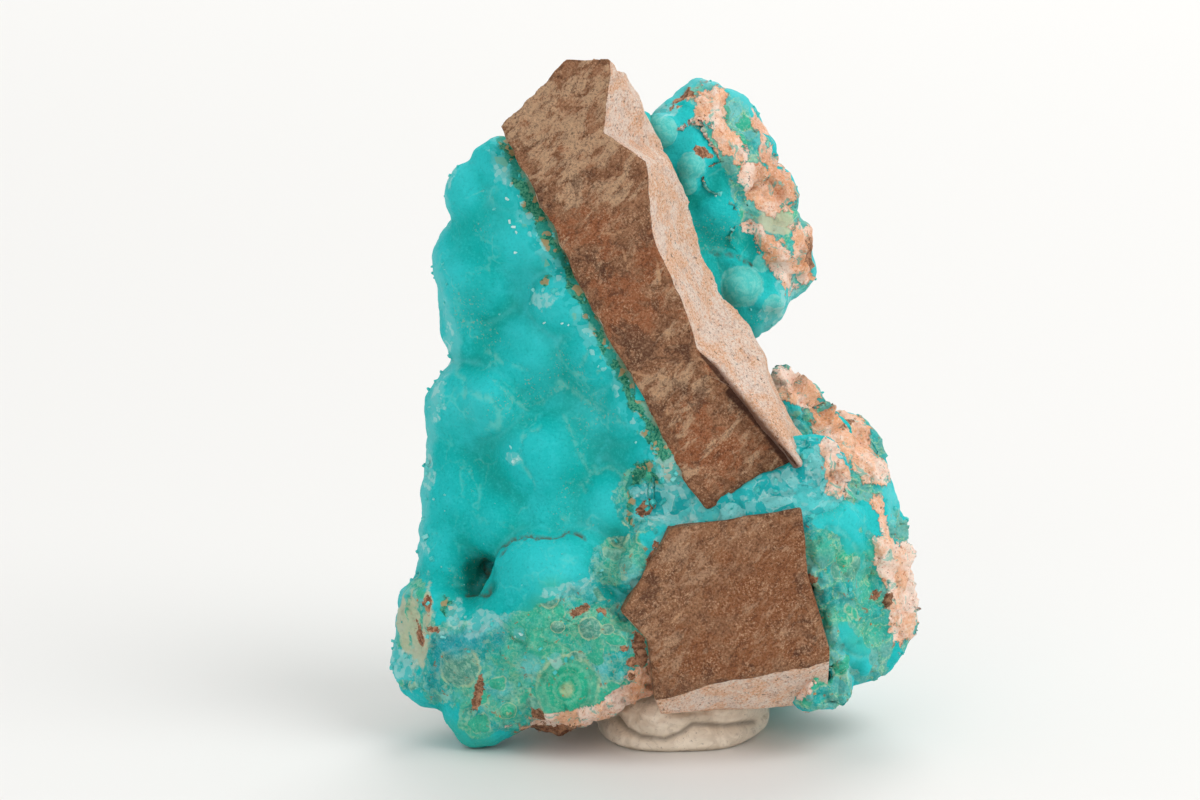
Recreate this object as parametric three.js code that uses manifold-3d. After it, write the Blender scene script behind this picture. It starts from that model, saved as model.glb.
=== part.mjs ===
// A hemimorphite specimen: blue-green botryoidal hemimorphite that grew round two broken pieces of brown
// host rock, propped upright on a wad of putty.
// Millimetres, +Z up, the showy face towards -Y, the origin at the middle of the footprint on the shelf.

import * as THREE from 'three';
import { ConvexGeometry } from 'three/addons/geometries/ConvexGeometry.js';
import { mergeVertices } from 'three/addons/utils/BufferGeometryUtils.js';
import Module from 'manifold-3d';

const wasm = await Module();
wasm.setup();

// ---- driving dimensions ------------------------------------------------------------------------------

const SEAT_GAP = 0.3;          // clearance where the mineral meets the rock and the putty
const REACH = 160;             // half-size of the half-space blocks that cut broken faces
const SKIRT_START = 0.92;      // where a lump's round top turns into its straight skirt, of its radius
const SKIRT_SLOPE = 2.4;       // how steeply the skirt falls away
const BULGE_FACETS = 2;        // how often the icosahedron of a big bulge is divided
const LUMP_FACETS = 1;         // and of a small lump

// The upper slab: a flat broken plate of host rock, leaning to the right.
const SLAB = {
  origin: [-20, -7, 83],       // its top left corner, on the front face
  facing: [-0.255, -0.966, 0.042],
  thickness: 12,
  // outline seen square on, clockwise from the top left corner: [right, up, lean of the edge that follows]
  outline: [[0, 0, -0.3], [9.3, 8.8, -0.45], [14.7, 8.9, -0.11], [40.7, -42.9, 0], [28.6, -49.5, 0.12],
    [19.6, -35, 0.15]],
  // each cut is the space beyond all of its faces; a face is [from, to, lean] across the front face
  cuts: [
    [[[19.8, -2.5], [27.5, -28.3], 0.18], [[27.5, -28.3], [40.7, -42.9], 0.37]],   // hollow in the flank
    [[[14.5, 6.4], [13.9, -0.4], 0.5], [[13.9, -0.4], [20.3, -4.4], 0]],           // chipped top corner
  ],
  // the stepped fracture at the foot: its floor through three points [right, up, depth], and two ledges
  step: {
    floor: [[29.4, -31.1, 0], [26.5, -48.8, 0], [40, -42.6, -2.6]],
    ledges: [[[40.7, -42.9], [32.3, -33.5], 0], [[33.2, -33.4], [27.4, -31], 0]],
  },
};

// The lower block: a squarer piece of the same rock with a broken underside.
const BLOCK = {
  origin: [0.5, -21.5, 10],    // its lower left corner, on the front face
  facing: [0.037, -0.991, 0.131],
  thickness: 13,
  outline: [[2, 21.8, 0], [19, 24.5, 0], [19.8, 15.7, 0], [23, 4.9, 0.75], [0, 0, 0], [-4.3, 11, 0]],
  cuts: [
    [[[0, 0], [-0.9, 7.4], 0], [[-0.9, 7.4], [-4.3, 11], 0]],                      // lost lower left corner
  ],
  underside: [[-5.7, -2.8, -5.1], [15.4, -1.1, -5.1], [5.3, -2.5, -13.8]],
};

// The hemimorphite, region by region. Each region is a body grown over with lumps: its middle and its
// half-sizes, its lumps as [x, y, z, radius], the flat broken faces that cut it as [point, outward
// direction], and how finely it is faceted.
const REGIONS = {
  upper_crust: {
    middle: [-14, 2, 64], half: [8, 5, 17], facets: 6,
    lumps: [
      [-20, -1, 76.5, 4], [-23.5, -1, 73, 3.8], [-21, 0, 68, 5.2], [-25, 1, 65, 3.4], [-23, 0, 61, 5.4],
      [-24, 1, 56, 4], [-22, 0, 53.5, 4.6], [-17, -3.5, 74, 3.6], [-14, -4.5, 67.5, 4.4],
      [-10.5, -5.5, 59.5, 5.2], [-6.5, -7, 53, 5.4], [-17, 5, 75, 5.5],
      [-15, 6, 65, 7.5], [-18, 5, 56, 6.5], [-6, 6, 73, 7.5], [-9, 6, 81, 4.5], [-8, 8, 54, 9],
    ],
  },
  middle_crust: {
    middle: [-12, 1, 37], half: [12, 8, 16], facets: 7,
    lumps: [
      [-24, -2, 45.5, 5.2], [-24.5, -1, 43, 4.9], [-25, 0, 39.5, 4.6], [-24.5, -1, 35.5, 5.2],
      [-26, -2, 32, 4.4], [-23, -3, 32, 5.4], [-25, -2, 29, 5.2], [-27, -3, 25.5, 4.2],
      [-26.5, -4, 22.5, 4.6], [-6.5, -4, 43, 5.8], [-1.5, -7, 39.5, 4.4], [-1.5, -8.5, 46, 5.4],
      [2, -10.5, 39.5, 5], [-15, 8, 43, 8.5], [-21, 5, 41, 6], [-5, 11, 38, 9], [-20, 6, 27, 8.5],
    ],
  },
  foot: {
    middle: [-17, -3, 14], half: [10, 8, 10], facets: 6,
    lumps: [
      [-28, -7, 16.5, 6], [-31, -5, 20, 3], [-31.5, -4, 11, 3.2], [-29.5, -6, 7.5, 3.3], [-26, -8, 10, 5.4],
      [-22.5, -10, 4.6, 4.9], [-20, -10, 7.5, 6], [-10.5, -11, 14, 9.2], [-12, -9, 8, 5.4],
      [-5.5, -11.5, 14.5, 8.6], [-17.5, -11.5, 15.5, 6.4], [-23.5, -11, 15, 4.6], [-24, 1, 13, 5.5],
      [-14, 9, 12, 8],
    ],
    broken: [[[-10, -19, 15.5], [-0.22, -0.97, -0.12]], [[-30, -11.5, 15], [-0.81, -0.59, 0.05]]],
  },
  heart: {
    middle: [2, 3, 26], half: [18, 12, 14], facets: 5,
    lumps: [
      [-8, 12, 24, 10], [6, 14, 27, 10], [16, 12, 37, 8], [19, 12, 24, 9], [3, 13, 12, 9], [15, 14, 8, 8.2],
      [-4, 13.5, 8.4, 8.6], [4, 10, 46, 8],
    ],
  },
  right_mass: {
    middle: [20, 1, 27], half: [9, 9, 14], facets: 7,
    lumps: [
      [18.5, 0, 43.5, 4.6], [22.5, 0, 38, 5.4], [26, -1, 32.5, 6.6], [28.5, -3, 25.5, 7], [30, -4, 18.5, 6.6],
      [29.5, -5, 13.5, 5.3], [27.5, -8, 12, 4.2], [25, -8, 14, 5.6], [21.5, -9, 9.5, 3.9],
      [22.5, -8, 19.5, 6.4], [18, 0, 49, 1.7], [22.5, -9, 30.5, 6], [23, -11, 26, 5.6], [24, -11, 18.5, 5.4],
      [21.5, -12, 13, 4.2], [27, 6, 25, 7], [24, 9, 14, 7], [25, 6, 35, 7],
    ],
    broken: [[[25.5, -14.5, 26], [0.52, -0.85, 0.05]], [[35, -3, 19.5], [0.94, -0.33, 0.12]],
      [[23, -5.5, 42.5], [0.52, -0.36, 0.77]]],
  },
  knob: {
    middle: [9.5, 10, 68], half: [6, 5, 12], facets: 7,
    lumps: [
      [6.5, 8, 79, 6], [9.5, 12, 79.5, 5.4], [11.5, 12, 75.5, 5.7], [14.5, 12, 70, 5.4], [17, 12, 63.5, 5],
      [18.5, 11, 60.5, 3.9], [14, 9, 58, 5.4], [9.5, 9, 67, 5.4], [11.5, 8, 55.5, 3.8], [4.5, 8, 75.5, 4.9],
      [7, 8, 58.5, 5.2], [9.5, 8, 81, 4.4], [12, 8, 76.5, 4.6], [14, 8, 71.5, 4.6], [16, 8, 66.5, 4.3],
      [17.5, 8.5, 62, 3.6], [4, 12, 68, 7.5], [10, 16, 72, 6], [11, 15, 60, 6.5], [14, 17, 66, 5.5],
    ],
    broken: [[[12.5, 4.5, 74], [0.5, -0.83, 0.25]], [[19, 9, 72], [0.9, -0.28, 0.33]]],
  },
  spine: {
    middle: [-12, 2, 32], half: [10, 8, 26], facets: 4, lumps: [],
  },
  neck: {
    middle: [1, 6, 57], half: [10, 6, 17], facets: 4,
    lumps: [[0, 7, 70, 6]],
  },
};
// The big round bulges of the crust's front.
const BULGES = [
  [-15.5, -2, 52, 7], [-20.5, -7, 46.5, 2.8], [-13.5, -6, 38, 7], [-5, -8, 33, 6], [-14, -12, 23.5, 6.8],
  [-8.5, -11, 25.5, 5], [-21.5, -1.5, 61, 5], [-18, -2.5, 67.5, 5],
];
// The vein between slab and block: its lumps are cut off flat a little behind the rock's front faces.
const VEIN_LUMPS = [
  [-1.5, -12, 30.5, 5.5], [3.5, -12.5, 32.5, 5.2], [8.5, -13, 33.5, 5.2], [13, -14, 35, 5.2],
  [17.5, -14.5, 36.5, 5], [21, -13, 38, 5],
];
// Separate little balls in the recess of the knob and down the back of the slab's top.
const BALLS = [
  [1.5, 3, 81, 2.8], [5.5, 2, 76, 2], [5.5, 2, 73.6, 1.6], [12, 3, 59.5, 2.9], [14, 2.5, 58, 1.6],
  [16.5, 4, 57.5, 1.8], [14.5, 5, 63, 1.8], [-6.5, 5, 86, 2], [-4.5, 5, 83.5, 2.2],
];
const VEIN_RECESS = 1.2;       // how far the vein's front lies behind the rock's faces

// The putty: a wad pressed flat on the shelf.
const PUTTY = {
  centre: [4.2, -3.5],
  radius: 11.2,
  height: 9,                   // before the stone is pressed into it
  squeeze: 0.05,               // how uneven its rim is
};

const COLOURS = {
  hemimorphite: { colour: 0x2fb5b0, roughness: 0.55 },
  slab: { colour: 0x8a6048, roughness: 0.85 },
  block: { colour: 0x87593f, roughness: 0.85 },
  putty: { colour: 0xb5a28c, roughness: 0.8 },
};

// ---- solids ------------------------------------------------------------------------------------------

const vec = ([x, y, z]) => new THREE.Vector3(x, y, z);

// A closed three.js geometry as a solid that can be joined and cut.
function solidOf(geometry) {
  geometry.deleteAttribute('normal');
  geometry.deleteAttribute('uv');
  const merged = mergeVertices(geometry, 1e-4);
  return new wasm.Manifold(new wasm.Mesh({
    numProp: 3,
    vertProperties: new Float32Array(merged.attributes.position.array),
    triVerts: new Uint32Array(merged.index.array),
  }));
}

function geometryOf(solid) {
  const mesh = solid.getMesh();
  const geometry = new THREE.BufferGeometry();
  geometry.setAttribute('position', new THREE.BufferAttribute(mesh.vertProperties, 3));
  geometry.setIndex(new THREE.BufferAttribute(mesh.triVerts, 1));
  geometry.computeVertexNormals();
  return geometry;
}

// A half-space: everything behind the plane through point, facing normal.
const face = (point, normal) => ({ point: vec(point), normal: vec(normal).normalize() });
const pushed = (plane, distance) => ({
  point: plane.point.clone().addScaledVector(plane.normal, distance),
  normal: plane.normal.clone(),
});
const flipped = (plane) => ({ point: plane.point.clone(), normal: plane.normal.clone().negate() });

// The convex solid behind all the planes: its corners are where three planes meet inside the others.
function convexOf(planes) {
  const corners = [];
  for (let i = 0; i < planes.length; i++) {
    for (let j = i + 1; j < planes.length; j++) {
      for (let k = j + 1; k < planes.length; k++) {
        const corner = meetingPoint(planes[i], planes[j], planes[k]);
        const inside = (p) => corner.clone().sub(p.point).dot(p.normal) < 1e-6;
        if (corner && planes.every(inside)) corners.push(corner);
      }
    }
  }
  return solidOf(new ConvexGeometry(corners));
}

function meetingPoint(a, b, c) {
  const bc = b.normal.clone().cross(c.normal);
  const spread = a.normal.dot(bc);
  if (Math.abs(spread) < 1e-6) return null;
  const sum = bc.multiplyScalar(a.point.dot(a.normal));
  sum.addScaledVector(c.normal.clone().cross(a.normal), b.point.dot(b.normal));
  sum.addScaledVector(a.normal.clone().cross(b.normal), c.point.dot(c.normal));
  return sum.divideScalar(spread);
}

// Six planes of a box big enough to hold the whole specimen.
const FAR = [[1, 0, 0], [-1, 0, 0], [0, 1, 0], [0, -1, 0], [0, 0, 1], [0, 0, -1]]
  .map((n) => face(n.map((v) => v * REACH), n));

// The space beyond all the faces of a cut.
const beyond = (planes) => convexOf([...planes.map(flipped), ...FAR]);
const behind = (planes) => convexOf([...planes, ...FAR]);

// ---- the two pieces of rock --------------------------------------------------------------------------

// Right, up and outward directions of a rock's front face.
function frontOf(rock) {
  const out = vec(rock.facing).normalize();
  const right = new THREE.Vector3(0, 0, 1).cross(out).normalize();
  const up = out.clone().cross(right);
  const at = ([r, u, w = 0]) => vec(rock.origin)
    .addScaledVector(right, r).addScaledVector(up, u).addScaledVector(out, w);
  return { out, right, up, at };
}

// The broken edge from a to b across the front face; it faces left of that line and leans with depth.
function edgeOf(front, a, b, lean) {
  const along = new THREE.Vector2(b[0] - a[0], b[1] - a[1]).normalize();
  const normal = front.right.clone().multiplyScalar(-along.y).addScaledVector(front.up, along.x);
  return { point: front.at(a), normal: normal.addScaledVector(front.out, lean).normalize() };
}

function planeThrough(a, b, c, towards) {
  const normal = b.clone().sub(a).cross(c.clone().sub(a)).normalize();
  if (normal.dot(towards) < 0) normal.negate();
  return { point: a, normal };
}

// A piece of rock, or with clearance the pocket that it lies in.
function rockOf(rock, clearance = 0) {
  const front = frontOf(rock);
  const corners = rock.outline;
  const planes = corners.map((from, i) => {
    const to = corners[(i + 1) % corners.length];
    return edgeOf(front, from, to, from[2]);
  });
  planes.push({ point: front.at([0, 0]), normal: front.out.clone() });
  planes.push({ point: front.at([0, 0, -rock.thickness]), normal: front.out.clone().negate() });
  if (rock.underside) planes.push(planeThrough(...rock.underside.map(front.at), front.up.clone().negate()));
  let solid = convexOf(planes.map((plane) => pushed(plane, clearance)));
  const cuts = rock.cuts.map((cut) => cut.map(([from, to, lean]) => edgeOf(front, from, to, lean)));
  if (rock.step) {
    cuts.push([
      planeThrough(...rock.step.floor.map(front.at), front.out),
      ...rock.step.ledges.map(([from, to, lean]) => edgeOf(front, from, to, lean)),
    ]);
  }
  for (const cut of cuts) solid = solid.subtract(beyond(cut.map((plane) => pushed(plane, clearance))));
  return solid;
}

// ---- the hemimorphite --------------------------------------------------------------------------------

function ballOf([x, y, z, radius], clearance = 0, facets = LUMP_FACETS) {
  const geometry = new THREE.IcosahedronGeometry(radius + clearance, facets);
  geometry.translate(x, y, z);
  return solidOf(geometry);
}

// How far along a ray from the middle a lump reaches: to its far side where the ray meets it, and falling
// away in a skirt round it where the ray passes by.
function reachOf(direction, middle, [x, y, z, radius]) {
  const to = new THREE.Vector3(x, y, z).sub(middle);
  const along = to.dot(direction);
  const aside = Math.sqrt(Math.max(to.lengthSq() - along * along, 0));
  if (along < 0) return 0;
  const crest = SKIRT_START * radius;
  if (aside < crest) return along + Math.sqrt(radius * radius - aside * aside);
  return along + Math.sqrt(radius * radius - crest * crest) - SKIRT_SLOPE * (aside - crest);
}

// A region: an icosphere stretched over its body and pushed out, along rays from its middle, to the
// outermost lump.
function regionOf({ middle, half, facets, lumps, broken = [] }, clearance = 0) {
  const geometry = new THREE.IcosahedronGeometry(1, facets);
  const position = geometry.attributes.position;
  const centre = vec(middle);
  const p = new THREE.Vector3();
  for (let i = 0; i < position.count; i++) {
    p.fromBufferAttribute(position, i).multiply(vec(half));
    const direction = p.clone().normalize();
    const reach = Math.max(p.length(), ...lumps.map((lump) => reachOf(direction, centre, lump)));
    p.copy(centre).addScaledVector(direction, reach + clearance);
    position.setXYZ(i, p.x, p.y, p.z);
  }
  const solid = solidOf(geometry);
  if (!broken.length) return solid;
  return solid.intersect(behind(broken.map(([point, normal]) => pushed(face(point, normal), clearance))));
}

const joined = (solids) => solids.reduce((whole, solid) => whole.add(solid));

// The whole mineral before the rock's pockets are cut, grown all over by the clearance.
function mineralOf(clearance = 0) {
  const veinFaces = [SLAB, BLOCK].map((rock) => pushed(face(rock.origin, rock.facing), -VEIN_RECESS));
  const vein = joined(VEIN_LUMPS.map((lump) => ballOf(lump, clearance))).intersect(behind(veinFaces));
  const regions = Object.values(REGIONS).map((region) => regionOf(region, clearance));
  const bulges = BULGES.map((ball) => ballOf(ball, clearance, BULGE_FACETS));
  return joined([...regions, vein, ...bulges, ...BALLS.map((ball) => ballOf(ball, clearance))]);
}

// ---- the putty ---------------------------------------------------------------------------------------

// A flat-bottomed dome: a turned profile whose rim goes in and out a little with the angle.
function puttyOf() {
  const { centre, radius, height, squeeze } = PUTTY;
  const profile = [[0, 0], [0.9, 0], [0.98, 0.1], [1, 0.3], [0.97, 0.5], [0.88, 0.68], [0.7, 0.84], [0.4, 0.95],
    [0, 1]].map(([r, h]) => new THREE.Vector2(r * radius, h * height));
  const geometry = new THREE.LatheGeometry(profile, 24);
  geometry.rotateX(Math.PI / 2);
  const position = geometry.attributes.position;
  for (let i = 0; i < position.count; i++) {
    const angle = Math.atan2(position.getY(i), position.getX(i));
    const rim = 1 + squeeze * (Math.sin(2 * angle + 0.6) + 0.6 * Math.sin(5 * angle));
    position.setXYZ(i, position.getX(i) * rim, position.getY(i) * rim, position.getZ(i));
  }
  geometry.translate(centre[0], centre[1], 0);
  return solidOf(geometry);
}

// ---- the specimen ------------------------------------------------------------------------------------

const SHELF = { point: new THREE.Vector3(), normal: new THREE.Vector3(0, 0, -1) };

const slab = rockOf(SLAB);
const block = rockOf(BLOCK);
const hemimorphite = mineralOf()
  .intersect(behind([SHELF]))
  .subtract(rockOf(SLAB, SEAT_GAP))
  .subtract(rockOf(BLOCK, SEAT_GAP));
const putty = puttyOf()
  .subtract(mineralOf(SEAT_GAP))
  .subtract(rockOf(BLOCK, SEAT_GAP));

function meshOf(name, solid, { colour, roughness }) {
  const material = new THREE.MeshStandardMaterial({ color: colour, roughness, metalness: 0 });
  const mesh = new THREE.Mesh(geometryOf(solid), material);
  mesh.name = name;
  return mesh;
}

const specimen = new THREE.Group();
specimen.add(
  meshOf('hemimorphite', hemimorphite, COLOURS.hemimorphite),
  meshOf('upper_slab', slab, COLOURS.slab),
  meshOf('lower_block', block, COLOURS.block),
  meshOf('putty_wad', putty, COLOURS.putty),
);

const box = new THREE.Box3().setFromObject(specimen);
const middle = box.getCenter(new THREE.Vector3());
specimen.position.set(-middle.x, -middle.y, -box.min.z);
specimen.updateMatrixWorld(true);

export default specimen;
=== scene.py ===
"""The looks of a hemimorphite specimen: a blue-green botryoidal mineral grown round two broken pieces of
brown host rock, propped on a wad of putty. Sizes are millimetres in the specimen's own design frame until a
piece is handed to Blender, which takes metres."""

import bpy
import numpy as np
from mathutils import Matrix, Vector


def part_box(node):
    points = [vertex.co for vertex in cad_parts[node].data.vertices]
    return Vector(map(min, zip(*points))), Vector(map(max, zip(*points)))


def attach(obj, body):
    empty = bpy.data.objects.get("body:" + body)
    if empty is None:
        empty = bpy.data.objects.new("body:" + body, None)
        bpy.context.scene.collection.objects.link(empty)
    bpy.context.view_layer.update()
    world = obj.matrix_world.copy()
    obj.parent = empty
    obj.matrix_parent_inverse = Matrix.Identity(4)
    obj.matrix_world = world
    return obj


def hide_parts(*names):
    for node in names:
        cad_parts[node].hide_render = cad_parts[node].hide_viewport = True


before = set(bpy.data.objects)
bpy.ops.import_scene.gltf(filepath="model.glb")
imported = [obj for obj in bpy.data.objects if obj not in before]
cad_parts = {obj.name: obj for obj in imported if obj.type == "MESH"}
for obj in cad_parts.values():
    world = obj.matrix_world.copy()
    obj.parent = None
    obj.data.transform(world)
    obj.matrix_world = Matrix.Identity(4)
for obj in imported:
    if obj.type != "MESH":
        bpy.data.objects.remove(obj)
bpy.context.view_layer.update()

SHIFT = np.array([-0.68, -1.05, 0.0])      # brings the design frame over the middle of the footprint
MILLIMETRE = 0.001

# ---- the specimen's sizes, millimetres ---------------------------------------------------------------

# The leaning slab and the block under it. An outline is seen square on, clockwise: how far right and up of
# the first corner, and how the edge that follows leans with depth. A cut is the space beyond its faces.
SLAB = {
    "corner": (-20, -7, 83), "facing": (-0.255, -0.966, 0.042), "thickness": 12,
    "outline": [(0, 0, -0.3), (9.3, 8.8, -0.45), (14.7, 8.9, -0.11), (40.7, -42.9, 0), (28.6, -49.5, 0.12),
                (19.6, -35, 0.15)],
    "cuts": [[((19.5, -2.5), (27.2, -28.3), 0.18), ((27.2, -28.3), (40.7, -42.9), 0.37)],
             [((14.5, 6.4), (13.9, -0.4), 0.5), ((13.9, -0.4), (20.3, -4.4), 0)]],
    "floor": [(29.4, -31.1, -1.0), (26.5, -48.8, 0), (40, -42.6, -4.4)],
    "ledges": [((40.7, -42.9), (32.3, -33.5), 0.35), ((33.2, -33.4), (27.4, -31), 0.3)],
    "scoops": [(0, -15, 8, 1.5)],
    "wear": 1.0,
}
BLOCK = {
    "corner": (0.5, -21.5, 10), "facing": (0.037, -0.991, 0.131), "thickness": 13,
    "outline": [(2, 21.8, 0), (19.2, 24.6, 0), (23.2, 4.9, 0.95), (0, 0, 0), (-4.3, 11, 0)],
    "cuts": [[((0, 0), (-0.9, 7.4), 0), ((-0.9, 7.4), (-4.3, 11), 0)],
             [((19.2, 24.6), (20, 15.7), 0), ((20, 15.7), (23.2, 4.9), 0)]],
    "underside": [(-5.7, -3.4, -6.0), (15.4, -2.4, -6.0), (5.3, -4.0, -13.8)],
    "wear": 0.45,
}

# The mineral, region by region: egg-shaped bodies (middle and half-sizes) grown over with balls (x, y, z,
# radius), how softly they melt together, and the flat breaks that cut them (a point and the way the
# broken face looks).
REGIONS = {
    "crust": {
        "melt": 0.9,
        "bodies": [((-14, 2, 64), (8, 7.5, 17)), ((-12, 1, 37), (13, 10.5, 17)), ((-7, -3, 47), (9, 6, 10))],
        "balls": [(-20, -1, 76.5, 4), (-23.5, -1, 73, 3.8), (-21, 0, 68, 5.2), (-25, 1, 65, 3.4),
                  (-23, 0, 61, 5.4), (-24, 1, 56, 4), (-22, 0, 53.5, 4.6), (-17, -3.5, 74, 3.6),
                  (-14, -4.5, 67.5, 4.4), (-10.5, -5.5, 59.5, 5.2), (-6.5, -7, 53, 5.4), (-17, 5, 75, 5.5),
                  (-15, 6, 65, 7.5), (-18, 5, 56, 6.5), (-6, 6, 73, 7.5), (-9, 6, 81, 4.5), (-8, 8, 54, 9),
                  (-24, -2, 45.5, 5.2), (-24.5, -1, 43, 4.9), (-25, 0, 39.5, 4.6), (-24.5, -1, 35.5, 5.2),
                  (-26, -2, 32, 4.4), (-23, -3, 32, 5.4), (-25, -2, 29, 5.2), (-26.6, -3, 25.5, 4.0),
                  (-26.5, -4, 22.5, 4.6), (-6.5, -4, 43, 5.8), (-1.5, -7, 39.5, 4.4), (-1.5, -8.5, 46, 5.4),
                  (2, -10.5, 39.5, 5), (-15, 8, 43, 8.5), (-21, 5, 41, 6), (-5, 11, 38, 9),
                  (-20, 6, 27, 8.5),
                  # the big round bulges of its front
                  (-15.5, -2, 52, 7), (-20.5, -5.5, 46, 4.4), (-13.5, -6, 38, 7), (-5, -8, 33, 6),
                  (-14, -12, 23.5, 6.8), (-8.5, -11, 25.5, 5), (-21.5, -1.5, 61, 5), (-18, -2.5, 67.5, 5),
                  (-17.5, -12, 19.5, 5), (-19, -5.5, 30, 6), (-12.5, -7.5, 31, 5.5)],
    },
    "foot": {
        "melt": 1.0,
        "bodies": [((-17, -3, 14), (10, 8, 10)), ((-11.5, -12, 14), (13, 9, 9))],
        "balls": [(-28, -7, 16.5, 6), (-30.3, -5, 18.8, 2.8), (-31.5, -4, 11, 3.2), (-29.5, -6, 7.5, 3.3),
                  (-26, -8, 10, 5.4), (-22.5, -10, 4.6, 4.9), (-20, -10, 7.5, 6), (-10.5, -11, 14, 9.2),
                  (-12, -9, 8, 5.4), (-5.5, -11.5, 14.5, 8.6), (-17.5, -11.5, 15.5, 6.4),
                  (-23.5, -11, 15, 4.6), (-24, 1, 13, 5.5), (-14, 9, 12, 8),
                  (-33, -6.5, 11.8, 1.9), (-31.5, -7, 9.8, 2.4), (-13.5, -8, 5, 3.6), (-8, -8, 6.4, 3.2)],
        "breaks": [((-10, -19, 15.5), (-0.22, -0.97, -0.12)), ((-30, -11.5, 15), (-0.81, -0.59, 0.05))],
    },
    "heart": {
        "bodies": [((2, 3, 26), (18, 12, 14))],
        "balls": [(-8, 12, 24, 10), (6, 14, 27, 10), (16, 12, 37, 8), (19, 12, 24, 9), (3, 13, 12, 9),
                  (15, 14, 8, 8.2), (-4, 13.5, 8.4, 8.6), (4, 10, 46, 8), (-2.2, -14.6, 25.4, 3.6),
                  (0, -13.5, 28.5, 3.4)],
    },
    "right_mass": {
        "bodies": [((20, 1, 27), (9, 9, 14)), ((21.5, -2, 25), (12, 10, 15))],
        "balls": [(18.5, 0, 43.5, 4.6), (22.5, 0, 38, 5.4), (26, -1, 32.5, 6.6), (28.5, -3, 25.5, 7),
                  (30, -4, 18.5, 6.6), (29.5, -5, 13.5, 5.3), (27.5, -8, 12, 4.2), (25, -8, 14, 5.6),
                  (21.5, -9, 9.5, 3.9), (22.5, -8, 19.5, 6.4), (18, 0, 49, 1.7), (22.5, -9, 30.5, 6),
                  (23, -11, 26, 5.6), (24, -11, 18.5, 5.4), (21.5, -12, 13, 4.2), (27, 6, 25, 7),
                  (24, 9, 14, 7), (25, 6, 35, 7), (21, -13.3, 30, 3.8), (23.6, -16.8, 12.2, 2.5),
                  (22.6, -16.4, 9.6, 2.6), (20.6, -15, 8.2, 2.1), (23.4, -14, 9.4, 3.4)],
        "breaks": [((25.5, -14.5, 26), (0.52, -0.85, 0.05)), ((35, -3, 19.5), (0.94, -0.33, 0.12)),
                   ((23, -5.5, 42.5), (0.52, -0.36, 0.77))],
    },
    "knob": {
        "bodies": [((9.5, 10, 68), (6, 5, 12))],
        "balls": [(6.5, 8, 79, 6), (9.5, 12, 79.5, 5.4), (11.5, 12, 75.5, 5.7), (14.5, 12, 70, 5.4),
                  (17, 12, 63.5, 5), (18.5, 11, 60.5, 3.9), (14, 9, 58, 5.4), (9.5, 9, 67, 5.4),
                  (11.5, 8, 55.5, 3.8), (4.5, 8, 75.5, 4.9), (7, 8, 58.5, 5.2), (9.5, 8, 81, 4.4),
                  (12, 8, 76.5, 4.6), (14, 8, 71.5, 4.6), (16, 8, 66.5, 4.3), (17.5, 8.5, 62, 3.6),
                  (4, 12, 68, 7.5), (10, 16, 72, 6), (11, 15, 60, 6.5), (14, 17, 66, 5.5),
                  (7, 9, 83.4, 3.4), (4, 8, 81, 3.6)],
        "breaks": [((12.5, 4.5, 74), (0.5, -0.83, 0.25)), ((19, 9, 72), (0.9, -0.28, 0.33))],
    },
    "spine": {"bodies": [((-12, 2, 32), (10, 8, 26))], "balls": []},
    "neck": {"bodies": [((1, 6, 57), (10, 6, 17))], "balls": [(0, 7, 70, 6)]},
}
VEIN = [(-1.5, -12, 30.5, 5.5), (3.5, -12.5, 32.5, 5.2), (8.5, -13, 33.5, 5.2), (13, -14, 35, 5.2),
        (17.5, -14.5, 36.5, 5), (21, -13, 38, 5)]
SMALL_BALLS = [(1.7, 4, 80.6, 2.1), (5.6, 3, 76, 2), (5.2, 3.4, 73.8, 1.7), (12, 4.2, 59.6, 2.8),
               (14.6, 4, 57.6, 1.5), (16.5, 5, 57.6, 1.7), (14.5, 5.4, 63, 1.8), (-6.5, 5, 86, 2),
               (-4.5, 5, 83.5, 2.2), (8.6, 6.2, 69, 4.6), (11.8, 6.8, 55.8, 4.2), (2.8, 6, 76.6, 3.2),
               (6, 6.2, 73, 3.4), (10.2, 6.4, 63.5, 3.6),
               (6.6, 4.6, 65, 1.2), (17.2, 5.4, 60.3, 1.3), (9.4, 4.8, 73.6, 1.3),
               (-3, 4, 85.6, 1.2), (-2.3, 4, 83.6, 1.3), (-1.5, 4, 81.6, 1.6), (-0.2, 4.4, 79.2, 2)]
VEIN_RECESS = 1.2              # how far the vein's front lies behind the rock's faces
PUTTY = {"middle": (4.2, -3.5), "radius": 11.2, "height": 9}
ROOM = ((-37, -24, 0), (38, 26, 89))   # the box that all the mineral lies in

MELT = 0.5                     # how softly neighbouring balls run into one another
TRIM = 0.45                    # taken off each ball, in melts, because melting fattens them
OVERLAP = 0.6                  # how far the mineral reaches into the rock that it grew on
FRONT_PITCH = 0.34             # how far apart the sample points lie that the surfaces are worked out on
BACK_PITCH = 0.55
ROCK_PITCH = 0.30
BACK_STARTS = 4.0              # the mineral is made in a front left, a front right and a back part, which
RIGHT_STARTS = 0.0             # meet at this depth and this far right, and reach past one another there
SHARED = 0.8
FAR = 99.0                     # outside the mineral on every side

# ---- the camera, which also says where things come in its frame ------------------------------------------

TILT = np.radians(12.0)
FORWARD = np.array([0, np.cos(TILT), -np.sin(TILT)])
ABOVE = np.array([0, np.sin(TILT), np.cos(TILT)])
ACROSS = np.array([1.0, 0, 0])
CAMERA = np.array([-6.67, 0, 44.9]) - 620 * FORWARD
FRAME_WIDE, FRAME_HIGH = 1200, 800     # pixels
FOCAL = 4650.0                 # in pixels of the frame
SENSOR = 36.0


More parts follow.
